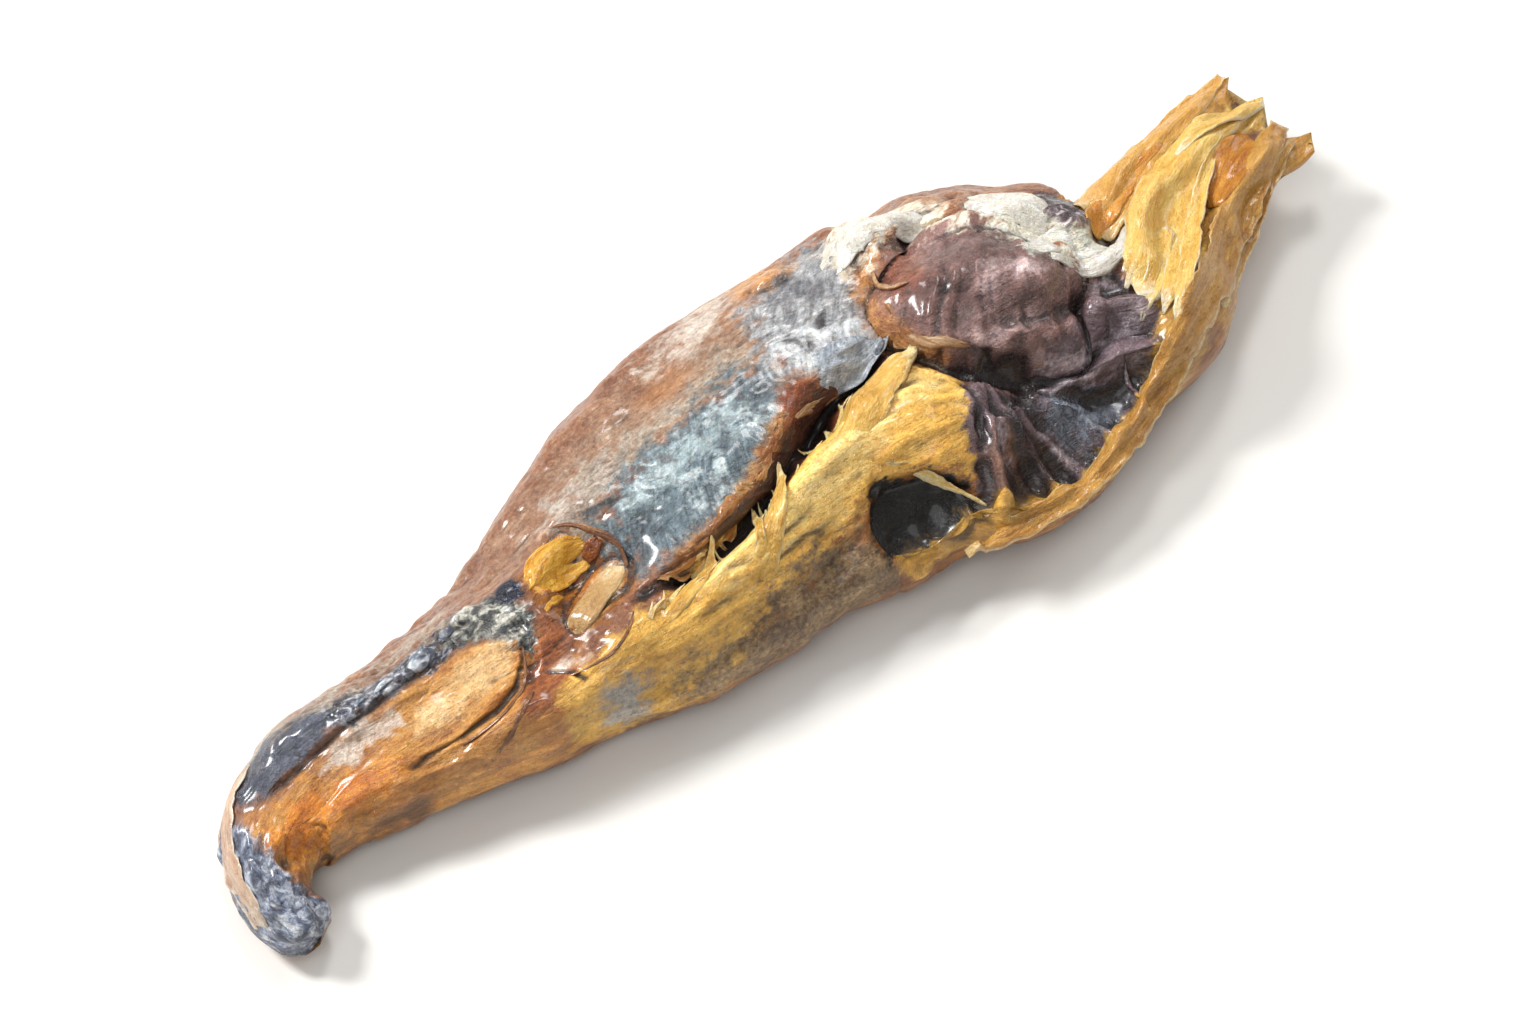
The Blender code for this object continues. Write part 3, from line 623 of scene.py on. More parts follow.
# Fine relief by kind of surface: the height of each noise, the size of its lumps along the fish,
# across it and upwards, and its seed.
SKIN_NOISE = ((0.26, (5.5, 2.8, 3.2), 21), (0.16, (2.4, 1.5, 1.7), 22), (0.07, (0.9, 0.7, 0.8), 23))
FLESH_NOISE = ((0.40, (9.0, 2.4, 2.6), 31), (0.16, (5.0, 1.0, 1.2), 32), (0.08, (1.8, 0.6, 0.7), 33))
FAN_NOISE = ((0.36, (16.0, 1.7, 2.0), 41), (0.20, (9.0, 0.9, 1.1), 42), (0.07, (2.5, 0.6, 0.7), 43))
FOLD_NOISE = ((0.75, (2.6, 2.6, 9.0), 51), (0.35, (1.6, 1.2, 9.0), 52))
FAT_NOISE = ((0.50, (3.2, 2.2, 2.4), 72), (0.30, (1.5, 1.1, 1.2), 73))

# Creases: depth, the size of the cells between them, and the seed.
SKIN_CREASES = (0.22, (6.0, 2.4, 2.8), 24)
THIN_CREASES = (0.08, (1.8, 1.0, 1.2), 25)
FLESH_CREASES = (0.26, (8.0, 1.8, 2.0), 34)
FAN_CREASES = (0.25, (14.0, 2.0, 2.2), 44)
FOLD_CREASES = (0.30, (3.0, 2.2, 9.0), 54)
INNARDS_CREASES = (0.24, (5.0, 1.6, 9.0), 63)
CREASE_SHARPNESS = 2.6
CREASE_POWER = 1.5


def creases(places, depth, size, seed, strength=1.0):
    """Thin lines that wander through the places, depth times strength on the line and 0 away from it."""
    line = np.clip(1.0 - CREASE_SHARPNESS * np.abs(value_noise(places, size, seed)), 0.0, 1.0)
    return depth * strength * line**CREASE_POWER


def warped(places, size, amount, seed):
    """The places, pushed about by smooth noise, so that textures don't run dead straight."""
    return places + amount * np.stack([value_noise(places, size, seed + k) for k in range(3)], axis=1)


def share(borders, *names):
    """How far each place is inside any of these regions, from 0 to 1."""
    return smooth(0.5 + np.maximum.reduce([borders[name] for name in names]) / 2.0)


def fine_relief(straight, borders, x, y):
    """Wrinkles, fibres, folds and beads, in millimetres along the surface's normal."""
    flesh = share(borders, "belly_flap", "tail_gold", "tail_orange", "rust", "torn_spot", "under_skin",
                  "hole")
    flesh *= 1.0 - SMOOTHER * share(borders, "bare_oblong")
    fan = share(borders, "fan_orange", "fan_yellow", "fan_brown", "ochre_rim")
    lining = share(borders, "lining")
    lump = share(borders, "innards")
    beads = share(borders, "ridge_beads", "speckle", "tail_stub", "dark_top")
    fat = share(borders, "cream_rim", "cream_web", "brown_top")
    pit = share(borders, "black_pit")
    skin = np.clip(1.0 - np.maximum.reduce([flesh, fan, lining, lump, pit]), 0, 1)
    bent = warped(straight, 7.0, 1.6, 81)
    patchy = smooth(0.5 + 1.6 * value_noise(straight, (13.0, 7.0, 8.0), 20))

    rise = skin * (
        layered(bent, SKIN_NOISE)
        - creases(bent, *SKIN_CREASES, patchy)
        - creases(bent, *THIN_CREASES)
    )
    rise += flesh * (layered(bent, FLESH_NOISE) - creases(bent, *FLESH_CREASES, patchy))
    rise += fan * (layered(bent, FAN_NOISE) - creases(bent, *FAN_CREASES, patchy))

    far = np.hypot(x - GATHER[0], y - GATHER[1])
    turn = FOLD_RADIUS * np.arctan2(y - GATHER[1], x - GATHER[0])
    radial = warped(np.stack([0.30 * far, turn, 0.0 * far], axis=1), 2.4, 0.7, 91)
    folds = layered(radial, FOLD_NOISE)
    rise += lining * (
        folds * smooth(far / 5.0)
        + 0.22 * value_noise(bent, (2.2, 1.6, 1.8), 53)
        - creases(radial, *FOLD_CREASES)
        - 0.05
    )
    veil = warped(np.stack([0.45 * (x + y), y - x, 0.0 * x], axis=1), 3.0, 1.2, 95)
    rise += lump * (
        0.40 * value_noise(bent, (6.0, 4.0, 4.0), 61)
        + 0.24 * folds
        + 0.20 * value_noise(veil, (3.6, 1.3, 9.0), 64)
        + 0.10 * value_noise(bent, (1.3, 0.8, 1.0), 62)
        - creases(veil, *INNARDS_CREASES, patchy)
    )
    rise += beads * (
        0.45 * np.clip(value_noise(bent, (1.7, 1.2, 1.2), 71), 0, 1)
        + 0.14 * value_noise(bent, (0.8, 0.6, 0.6), 70)
    )
    rise += fat * layered(bent, FAT_NOISE)
    rise += pit * (0.45 * value_noise(bent, (1.9, 1.5, 1.5), 74) - PIT_DEPTH)

    rise += innards_blend(x, y)
    return rise - CRACK_DEPTH * crack_at(x, y)


def innards_blend(x, y):
    """Fills the groove round the innards, but not towards the slit, where they stand clear."""
    cx, cy, half_length, half_width, turn, height = INNARDS
    out = in_oval(x, y, cx, cy, half_length, half_width, turn)
    facing = (SLIT_WAY[0] * (x - cx) + SLIT_WAY[1] * (y - cy)) / np.maximum(np.hypot(x - cx, y - cy), 0.1)
    beyond = 1.0 - smooth((facing - FACING_START) / FACING_FADE)
    return DOME_GROOVE * height * beyond * groove(out)


def crack_at(x, y):
    """1 in the middle of a crack, fading to 0 at its sides and its ends."""
    deepest = np.zeros(len(x))
    for line, half_width in CRACKS:
        far, along = from_line(x, y, line)
        ends = away_from_ends(along, CRACK_ENDS)
        deepest = np.maximum(deepest, ends * smooth(1.0 - far / (2.0 * half_width)))
    return deepest


def body_surface():
    """The finished surface in millimetres, its straightened places and its attributes."""
    grid, straight, upper = plain_body()
    flat, unbent = grid.reshape(-1, 3), straight.reshape(-1, 3)
    x, y = flat[:, 0], flat[:, 1]
    normals = normals_of(grid)
    open_side = (from_line(x, y, SLIT)[0] < SLIT_REACH) | (in_oval(x, y, *INNARDS[:-1]) < INNARDS_REACH)
    open_side &= upper.reshape(-1)
    drop = UNDERSIDE_DROP * smooth((TURN_START - normals[:, :, 2].reshape(-1)) / TURN_FADE) * ~open_side
    drop *= 1.0 - smooth((x - FAN_START) / FAN_FADE)
    borders = {}
    for name, *_, border in REGIONS:
        borders[name] = border(x, y) - (0.0 if name == "belly_skin" else drop)
    rise = fine_relief(unbent, borders, x, y).reshape(upper.shape)
    resting = smooth(grid[:, :, 2] / REST_HEIGHT)
    grid = grid + normals * (rise * resting)[:, :, None]
    grid[:, :, 2] = np.maximum(grid[:, :, 2], 0.0)

    gloss = np.full(len(x), BACK_ROUGHNESS)
    for name, soft, _, _, roughness, *_ in REGIONS:
        gloss += (roughness - gloss) * smooth(0.5 + borders[name] / (2.0 * soft))

    normals = normals_of(grid)
    values = {
        "gloss": gloss,
        "fine_hollow": hollowness(grid, normals, FINE_REACH).reshape(-1),
        "wide_hollow": hollowness(grid, normals, WIDE_REACH).reshape(-1),
        "crack": crack_at(x, y) * (drop < 1.0),
        **{"in_" + name: border for name, border in borders.items()},
    }
    return grid, straight, values


def ring_faces(rows, ring):
    """Quads round each ring, and a face across each end."""
    faces = []
    for row in range(rows - 1):
        for k in range(ring):
            a, b = row * ring + k, row * ring + (k + 1) % ring
            faces.append((a, b, b + ring, a + ring))
    faces.append(tuple(reversed(range(ring))))
    faces.append(tuple(range((rows - 1) * ring, rows * ring)))
    return faces


def add_piece(name, places_mm, faces, material, values):
    """A mesh piece from places in millimetres on the form, with values for its material."""
    places = np.array(places_mm, float).reshape(-1, 3) - (*MIDDLE, 0.0)
    mesh = bpy.data.meshes.new(name)
    mesh.from_pydata((places * MM).tolist(), [], faces)
    for key, value in values.items():
        value = np.asarray(value, np.float32).reshape(len(places), -1)
        vector = value.shape[1] == 3
        layer = mesh.attributes.new(key, "FLOAT_VECTOR" if vector else "FLOAT", "POINT")
        layer.data.foreach_set("vector" if vector else "value", value.reshape(-1))
    mesh.shade_smooth()
    mesh.materials.append(material)
    piece = bpy.data.objects.new(name, mesh)
    bpy.context.scene.collection.objects.link(piece)
    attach(piece, "root")
    return piece


def colour(code):
    """A colour in Blender's linear values from its usual sRGB code."""
    parts = [int(code[k:k + 2], 16) / 255.0 for k in (0, 2, 4)]
    return (*(c / 12.92 if c <= 0.04045 else ((c + 0.055) / 1.055) ** 2.4 for c in parts), 1.0)


RAMP_PLACES = (0.26, 0.44, 0.60, 0.78)       # most of a texture's values lie between these


class Graph:
    """Adds nodes to a material and links them in one call."""

    def __init__(self, name):
        self.material = bpy.data.materials.new(name)
        self.material.use_nodes = True
        self.tree = self.material.node_tree
        self.shader = self.tree.nodes["Principled BSDF"]

    def node(self, kind, inputs, **settings):
        made = self.tree.nodes.new(kind)
        for key, value in settings.items():
            setattr(made, key, value)
        for key, value in inputs.items():
            self.feed(made.inputs[key], value)
        return made

    def feed(self, socket, value):
        if isinstance(value, bpy.types.NodeSocket):
            self.tree.links.new(value, socket)
        else:
            socket.default_value = value

    def attribute(self, name):
        made = self.node("ShaderNodeAttribute", {}, attribute_name=name)
        return made.outputs["Vector" if name == "straight" else "Fac"]

    def sum(self, operation, *values):
        made = self.node("ShaderNodeMath", dict(enumerate(values)), operation=operation)
        return made.outputs[0]

    def noise(self, places, scale, detail, roughness=0.55, distortion=0.0):
        """Noise with so many lumps to the unit along each axis."""
        stretched = self.node("ShaderNodeVectorMath", {0: places, 1: scale}, operation="MULTIPLY")
        made = self.node("ShaderNodeTexNoise", {
            "Vector": stretched.outputs[0],
            "Scale": 1.0,
            "Detail": detail,
            "Roughness": roughness,
            "Distortion": distortion,
        })
        return made.outputs["Fac"]

    def step(self, value, low, high, to_low=0.0, to_high=1.0):
        """An even step from to_low to to_high as value goes from low to high."""
        made = self.node("ShaderNodeMapRange", {
            "Value": value, "From Min": low, "From Max": high, "To Min": to_low, "To Max": to_high,
        }, interpolation_type="SMOOTHSTEP")
        return made.outputs["Result"]

    def ramp(self, value, codes):
        """Picks among four colours, given from dark to light."""
        made = self.node("ShaderNodeValToRGB", {"Fac": value})
        stops = made.color_ramp.elements
        while len(stops) < len(RAMP_PLACES):
            stops.new(0.5)
        for stop, place, code in zip(stops, RAMP_PLACES, codes.split()):
            stop.position = place
            stop.color = colour(code)
        return made.outputs["Color"]

    def mix(self, share, below, above, blend="MIX"):
        made = self.node("ShaderNodeMix", {}, data_type="RGBA", blend_type=blend)
        for socket, value in zip((made.inputs[0], made.inputs[6], made.inputs[7]), (share, below, above)):
            self.feed(socket, value)
        return made.outputs[2]

    def blend(self, share, below, above):
        made = self.node("ShaderNodeMix", {}, data_type="FLOAT")
        for socket, value in zip((made.inputs[0], made.inputs[2], made.inputs[3]), (share, below, above)):
            self.feed(socket, value)
        return made.outputs[0]

    def bump(self, height, distance, below=None):
        inputs = {"Strength": 1.0, "Distance": distance, "Height": height}
        if below is not None:
            inputs["Normal"] = below
        return self.node("ShaderNodeBump", inputs).outputs["Normal"]


STREAK_TURN = math.radians(38.0)     # brushed streaks lie at this angle to the fish

# Noises: lumps per millimetre along the fish, across it and upwards, detail, roughness, distortion.
GRAIN = ((1.9, 2.2, 2.2), 4.0, 0.62)
MOTTLE = ((0.22, 0.32, 0.32), 4.0, 0.55)
FIBRE = ((0.22, 1.7, 1.7), 5.0, 0.62, 0.6)
STREAKS = ((0.75, 0.16, 0.4), 5.0, 0.62, 2.2)
BEADS = ((0.8, 1.05, 1.05), 3.0, 0.6, 0.8)
STRAY = ((0.55, 0.75, 0.75), 5.0, 0.65)
WET = ((0.5, 0.6, 0.6), 5.0, 0.7)
WET_STEP = (0.35, 0.65, 0.65, 1.3)   # from here to here in the noise, roughness times this to this
GRIT = ((5.5, 6.5, 6.5), 3.0, 0.6)
FINE_FIBRE = ((0.7, 5.0, 5.0), 3.0, 0.6)
TORN_EDGE = ((0.8, 1.6, 1.6), 4.0)

# Small marks: their noise, and for each kind where it starts and is full, its share and its gain.
MARKS = (
    ((1.0, 1.3, 1.3), 5.0, 0.7, (
        (0.48, 0.34, 0.8, (0.66, 0.58, 0.52, 1.0)),      # stains, a millimetre across
        (0.52, 0.68, 0.8, (1.26, 1.27, 1.28, 1.0)))),    # faded spots
    ((3.2, 3.6, 3.6), 2.0, 0.55, (
        (0.58, 0.72, 0.6, (1.6, 1.66, 1.72, 1.0)),       # salt
        (0.42, 0.28, 0.6, (0.40, 0.34, 0.30, 1.0)))),    # pores
)
GRIT_DEPTH = 0.00030                 # metres
FIBRE_DEPTH = 0.00045
FINISH = {
    "Subsurface Weight": 0.18,       # a little light goes through the flesh
    "Subsurface Radius": (1.0, 0.45, 0.2),
    "Subsurface Scale": 0.0012,
    "Coat Weight": 0.45,             # oil on the surface
    "Coat Roughness": 0.16,
}


def add_textures(graph):
    """The textures that the regions pick their colours with."""
    straight = graph.attribute("straight")
    grain = graph.noise(straight, *GRAIN)
    mottle = graph.noise(straight, *MOTTLE)
    fibre = graph.noise(straight, *FIBRE)
    turned = graph.node("ShaderNodeVectorRotate", {"Vector": straight, "Angle": STREAK_TURN})
    streaks = graph.noise(turned.outputs["Vector"], *STREAKS)
    beads = graph.noise(straight, *BEADS)
    tones = {
        "grainy": graph.blend(0.45, grain, mottle),
        "fibrous": graph.blend(0.35, fibre, mottle),
        "streaky": graph.blend(0.35, streaks, grain),
        "smooth": graph.blend(0.35, mottle, grain),
        "beaded": graph.blend(0.35, graph.step(beads, 0.36, 0.68, 0.15, 0.85), grain),
    }
    return straight, grain, fibre, tones


def finish_flesh(graph, straight, grain, fibre, paint, gloss, marked):
    """Sets the shader: oily patches, fine grit and fibres, and a little light through the surface.

    marked: how strong the small marks are, from 0 to 1.
    """
    wet = graph.noise(straight, *WET)
    gloss = graph.sum("MULTIPLY", gloss, graph.step(wet, *WET_STEP))
    for *texture, kinds in MARKS:
        spots = graph.noise(straight, *texture)
        for start, full, share, gain in kinds:
            spotted = graph.step(spots, start, full, 0.0, share * marked)
            paint = graph.mix(spotted, paint, gain, "MULTIPLY")
    grit = graph.noise(straight, *GRIT)
    fine_fibre = graph.noise(straight, *FINE_FIBRE)
    normal = graph.bump(graph.blend(0.5, fine_fibre, grit), GRIT_DEPTH)
    normal = graph.bump(graph.blend(0.5, fibre, grain), FIBRE_DEPTH, normal)
    graph.feed(graph.shader.inputs["Base Color"], paint)
    graph.feed(graph.shader.inputs["Roughness"], gloss)
    graph.feed(graph.shader.inputs["Normal"], normal)
    for name, value in FINISH.items():
        graph.shader.inputs[name].default_value = value


# Painted shade in hollows and a painted highlight on crests: attribute, millimetres where the tint starts
# and is full, share, gain.
PAINTED_DEPTH_SHADING = (
    ("wide_hollow", 0.15, 1.10, 0.65, colour("2a160c")),
    ("fine_hollow", 0.01, 0.12, 0.70, colour("3a2010")),
    ("fine_hollow", -0.01, -0.11, 1.0, (1.35, 1.33, 1.28, 1.0)),     # painted highlight: crests are painted paler
)
# Painted shade in the cracks.
CRACK_SHADE_COLOUR = colour("1a0c06")
CRACK_SHADE_SHARE = 0.7
RAGGEDNESS = 4.0                     # because the noise swings by about a quarter each way


def body_material():
    graph = Graph("dried_fish_skin_and_flesh")
    straight, grain, fibre, tones = add_textures(graph)
    stray = graph.sum("SUBTRACT", graph.noise(straight, *STRAY), 0.5)

    paint = graph.ramp(tones["grainy"], BACK_SKIN)
    for name, soft, ragged, texture, _, colours, _ in REGIONS:
        border = graph.sum("MULTIPLY_ADD", stray, RAGGEDNESS * ragged, graph.attribute("in_" + name))
        inside = graph.step(border, -soft, soft)
        paint = graph.mix(inside, paint, graph.ramp(tones[texture], colours))

    # Painted shade and highlight: hollows darken the paint, crests lighten it.
    depths = {name: graph.attribute(name) for name in ("fine_hollow", "wide_hollow")}
    for name, start, full, share, gain in PAINTED_DEPTH_SHADING:
        paint = graph.mix(graph.step(depths[name], start, full, 0.0, share), paint, gain, "MULTIPLY")
    # Painted shade: the cracks are darkened.
    paint = graph.mix(graph.sum("MULTIPLY", graph.attribute("crack"), CRACK_SHADE_SHARE), paint, CRACK_SHADE_COLOUR)

    finish_flesh(graph, straight, grain, fibre, paint, graph.attribute("gloss"), 1.0)
    return graph.material


class Ground:
    """Reads the height of the body's upper side, smoothed, at any place seen from above."""

    SMOOTHING = 3                    # grid points each way
    NEIGHBOURS = 6
    NEAREST = 0.15                   # places nearer than this count about alike

    def __init__(self, grid):
        soft = blurred(grid, self.SMOOTHING)[:, :POINTS_ABOVE:2].reshape(-1, 3)
        self.heights = soft[:, 2]
        self.tree = KDTree(len(soft))
        for k, (x, y, _) in enumerate(soft):
            self.tree.insert((x, y, 0.0), k)
        self.tree.balance()

    def height(self, x, y):
        near = self.tree.find_n((x, y, 0.0), self.NEIGHBOURS)
        weights = [1.0 / (self.NEAREST + distance) for _, _, distance in near]
        return sum(w * self.heights[k] for w, (_, k, _) in zip(weights, near)) / sum(weights)


SHEET_STEP = 0.4
SHEET_POINTS = 23
TORN_SIDE = 0.4                      # share of the edge's width that is paler at a sheet's sides
TORN_END = 6.0                       # and at its last end
END_REACH = 3.0                      # a sheet's ends are torn over this length
END_TAPER = 0.8                      # and grow thinner over this one
END_LEAST = 0.04                     # down to the root of this share
NARROW = 0.8                         # sheets narrower than this wave less
THIN_EDGE = 0.12                     # share of the thickness that is left at a sheet's sides
EDGES_APART = 30.0                   # so that its two sides stray in their own ways
STEADY_CURL = 0.6                    # the part of the curl that doesn't stray
FLOOR_GAP = 0.05                     # sheets stay this far above the floor
LEAST_THICKNESS = 0.04
TEXTURE_SHIFT = (17.0, 5.0)          # moves a sheet's texture along and across it, times its seed

# How sheets stray: the height of each noise, the size of its lumps, and what it adds to the seed.
SHEET_EDGE = ((0.6, (1.6, 9.0, 9.0), 1), (0.4, (0.7, 9.0, 9.0), 2))
SHEET_ENDS = ((1.6, (1.0, 1.1, 9.0), 3),)
SHEET_WAVE = ((0.30, (5.0, 1.6, 9.0), 4), (0.16, (2.2, 0.8, 9.0), 5), (0.14, (7.0, 0.55, 9.0), 7))
SHEET_CURL = ((1.0, (3.0, 9.0, 9.0), 6),)


def sheet(ground, rows, thickness, ragged, curl, tilt, seed):
    """A torn strip of skin or flesh on the body: a closed shell in millimetres, and its attributes.

    rows: x and y along its middle, half width, lift above the body. Its left side is higher by tilt.
    """
    _, length = through(rows, np.zeros(1))
    at = np.linspace(0.0, length, max(8, int(length / SHEET_STEP)))
    middle, _ = through(rows, at)
    tangent = np.gradient(middle[:, :2], axis=0)
    tangent /= np.linalg.norm(tangent, axis=1)[:, None]
    normal = np.stack([-tangent[:, 1], tangent[:, 0]], axis=1)
    v = np.linspace(-1.0, 1.0, SHEET_POINTS)
    ones = np.ones((len(at), 1))

    def strays(a, b, layers):
        places = np.stack([a * np.ones_like(b), b * np.ones_like(a), 0.0 * a * b], axis=2)
        own = [(height, size, seed + k) for height, size, k in layers]
        return layered(places.reshape(-1, 3), own).reshape(places.shape[:2])

    along, across = at[:, None], v[None, :]
    edge = strays(along, EDGES_APART * np.sign(across), SHEET_EDGE)
    spread = middle[:, 2:3] * across + ragged * edge * np.abs(across) ** 2
    ends = ragged * strays(0.0 * along, middle[:, 2:3] * across, SHEET_ENDS)
    reach = ends * (smooth(1.0 - (length - along) / END_REACH) - smooth(1.0 - along / END_REACH))
    x = middle[:, 0:1] + normal[:, 0:1] * spread + tangent[:, 0:1] * reach
    y = middle[:, 1:2] + normal[:, 1:2] * spread + tangent[:, 1:2] * reach
    base = np.array([[ground.height(px, py) for px, py in zip(rx, ry)] for rx, ry in zip(x, y)])
    wave = strays(along, spread, SHEET_WAVE) * np.minimum(1.0, middle[:, 2:3] / NARROW)
    body = np.sqrt(np.clip(1.0 - np.abs(across) ** 4, 0.0, 1.0))
    ends_in = np.sqrt(np.clip(np.minimum(along, length - along) / END_TAPER, END_LEAST, 1.0))
    curled = curl * np.abs(across) ** 3 * (STEADY_CURL + strays(along, across, SHEET_CURL))
    top = base + middle[:, 3:4] + curled + tilt * across
    top = top + wave + 0.5 * thickness * body * ends_in
    under = top - thickness * (THIN_EDGE + (1.0 - THIN_EDGE) * body) * ends_in
    under = np.maximum(under, FLOOR_GAP)
    top = np.maximum(top, under + LEAST_THICKNESS)

    upper = np.stack([x, y, top], axis=2)
    lower = np.stack([x, y, under], axis=2)[:, ::-1]
    places = np.concatenate([upper, lower], axis=1)
    inset = middle[:, 2:3] * (1.0 - np.abs(across)) / TORN_SIDE + 0.0 * x
    inset = np.minimum(inset, np.minimum(along, (length - along) / TORN_END) * ones)
    shift_along, shift_across = (seed * shift for shift in TEXTURE_SHIFT)
    own = np.stack([along + 0.0 * x + shift_along, spread + shift_across, top], axis=2)
    values = {
        "straight": np.concatenate([own, own[:, ::-1]], axis=1),
        "inset": np.concatenate([inset, inset[:, ::-1]], axis=1),
    }
    return places[:, ::-1], {key: value[:, ::-1] for key, value in values.items()}


def add_sheets(name, ground, many_rows, material, thickness, ragged, curl, tilt, seed):
    """One piece of several sheets."""
    places, faces, values = [], [], {}
    for k, rows in enumerate(many_rows):
        shell, own = sheet(ground, rows, thickness, ragged, curl, tilt, seed + 7 * k)
        start = sum(len(part) for part in places)
        faces += [tuple(start + i for i in face) for face in ring_faces(*shell.shape[:2])]
        places.append(shell.reshape(-1, 3))
        for key, value in own.items():
            values.setdefault(key, []).append(value.reshape(len(places[-1]), -1))
    values = {key: np.concatenate(parts) for key, parts in values.items()}
    return add_piece(name, np.concatenate(places), faces, material, values)


# Fibres are drawn at random between these shares of what is asked for, and bent by these radians.
FRAY_LENGTHS = (0.5, 1.2)
FRAY_WIDTHS = (0.6, 1.3)
FRAY_BENDS = (-0.5, 0.5)
FRAY_STATIONS = (0.0, 0.35, 0.7, 1.0)    # shares of a fibre's length
FRAY_POINT = 0.85                    # share of the width that is gone at the tip
FRAY_BASE = 0.1                      # share of the lift at the base


def frays(line, count, length, turn, spread, half_width, lift, seed):
    """Short torn fibres along a line. They point turn degrees to its left, give or take spread."""
    chance = np.random.default_rng(seed)
    knots = np.array(line, float)
    steps = np.linalg.norm(np.diff(knots, axis=0), axis=1)
    rows = []
    for at in np.sort(chance.uniform(0.0, steps.sum(), count)):
        k = min(int(np.searchsorted(np.cumsum(steps), at)), len(steps) - 1)
        start = knots[k] + (at - steps[:k].sum()) / steps[k] * (knots[k + 1] - knots[k])
        course = np.arctan2(*(knots[k + 1] - knots[k])[::-1])
        course += np.radians(turn + spread * chance.uniform(-1, 1))
        reach = length * chance.uniform(*FRAY_LENGTHS)
        width = half_width * chance.uniform(*FRAY_WIDTHS)
        bend = chance.uniform(*FRAY_BENDS)
        fibre = []
        for share in FRAY_STATIONS:
            angle = course + bend * share
            place = start + reach * share * np.array([np.cos(angle), np.sin(angle)])
            width_here = width * (1.0 - FRAY_POINT * share)
            fibre.append((*place, width_here, lift * (FRAY_BASE + (1.0 - FRAY_BASE) * share)))
        rows.append(tuple(fibre))
    return rows


EDGE_STRAY = 1.2                     # the torn edge's border strays by this much
EDGE_FULL = -0.7                     # its colour is full here and ends at its width less EDGE_BACK,
EDGE_BACK = 0.4                      # which both make up for the noise's mean
EDGE_SHARE = 0.85
SHEET_MARKS = 0.4                    # how strong the small marks are on sheets


def sheet_material(name, texture, roughness, colours, edge_colour, edge_width):
    """Skin or flesh as on the body, with a pale or dark torn edge."""
    graph = Graph(name)
    straight, grain, fibre, tones = add_textures(graph)
    paint = graph.ramp(tones[texture], colours)
    stray = graph.noise(straight, *TORN_EDGE)
    inset = graph.sum("MULTIPLY_ADD", stray, -EDGE_STRAY, graph.attribute("inset"))
    torn = graph.step(inset, EDGE_FULL, edge_width - EDGE_BACK, EDGE_SHARE, 0.0)
    paint = graph.mix(torn, paint, colour(edge_colour))
    finish_flesh(graph, straight, grain, fibre, paint, roughness, SHEET_MARKS)
    return graph.material


# What the sheets are made of: texture, roughness, colours from dark to light, the colour of the torn edge
# and its width.
SHEET_MATERIALS = {
    "yellow": ("fibrous", 0.28, "bc8630 daa94a eac670 f6dea2", "efe6cc", 0.35),
    "orange": ("fibrous", 0.30, "a86c22 ca923a dcaa56 eac686", "ecd09c", 0.35),
    "stripe": ("fibrous", 0.28, "a8621a c8812a d89a44 e6b66c", "d8a450", 0.1),
    "amber": ("fibrous", 0.22, "74380a a8640f ca8a2a e6b25c", "b87a24", 0.1),
    "brown": ("fibrous", 0.30, "804e1c ae782c ca9844 e0b870", "e6cc96", 0.3),
    "silver": ("streaky", 0.24, "4c525c 858d98 b6bcc2 f2f4f4", "7c7a7a", 0.10),
    "gold": ("fibrous", 0.32, "9a661e cf9c3e eabf64 fae2a4", "f8e4b0", 0.3),
    "glaze": ("fibrous", 0.14, "9c5c0c d08e1e eeb84a ffeaa8", "d89e3c", 0.15),
    "knot": ("fibrous", 0.20, "4c1e06 84400e a8642a d09858", "6a300c", 0.2),
    "tan": ("smooth", 0.30, "8c6034 b28a56 c8a570 dcc498", "ead2a4", 0.3),
    "rim": ("fibrous", 0.38, "5c2c10 8c5222 b07a3e d0a266", "d8b888", 0.1),
    "line": ("fibrous", 0.34, "7c4c28 b0845a d4b08a f0dcc2", "8c5c34", 0.05),
    "crease": ("fibrous", 0.36, "4a2410 784824 a27246 cca47a", "5a3018", 0.05),
    "cream": ("grainy", 0.36, "b4a894 d4ccbe e8e4dc f9f7f4", "c8c0b4", 0.3),
    # Painted highlights: beads coloured as glints, nearly white.
    "glint_bead": ("beaded", 0.12, "525c6a 8a96a4 c0c8d2 f6f8fa", "3c4250", 0.25),
    "stub": ("fibrous", 0.42, "8f6a55 bd977c d6b79c ecdac6", "f0e4d4", 0.3),
}

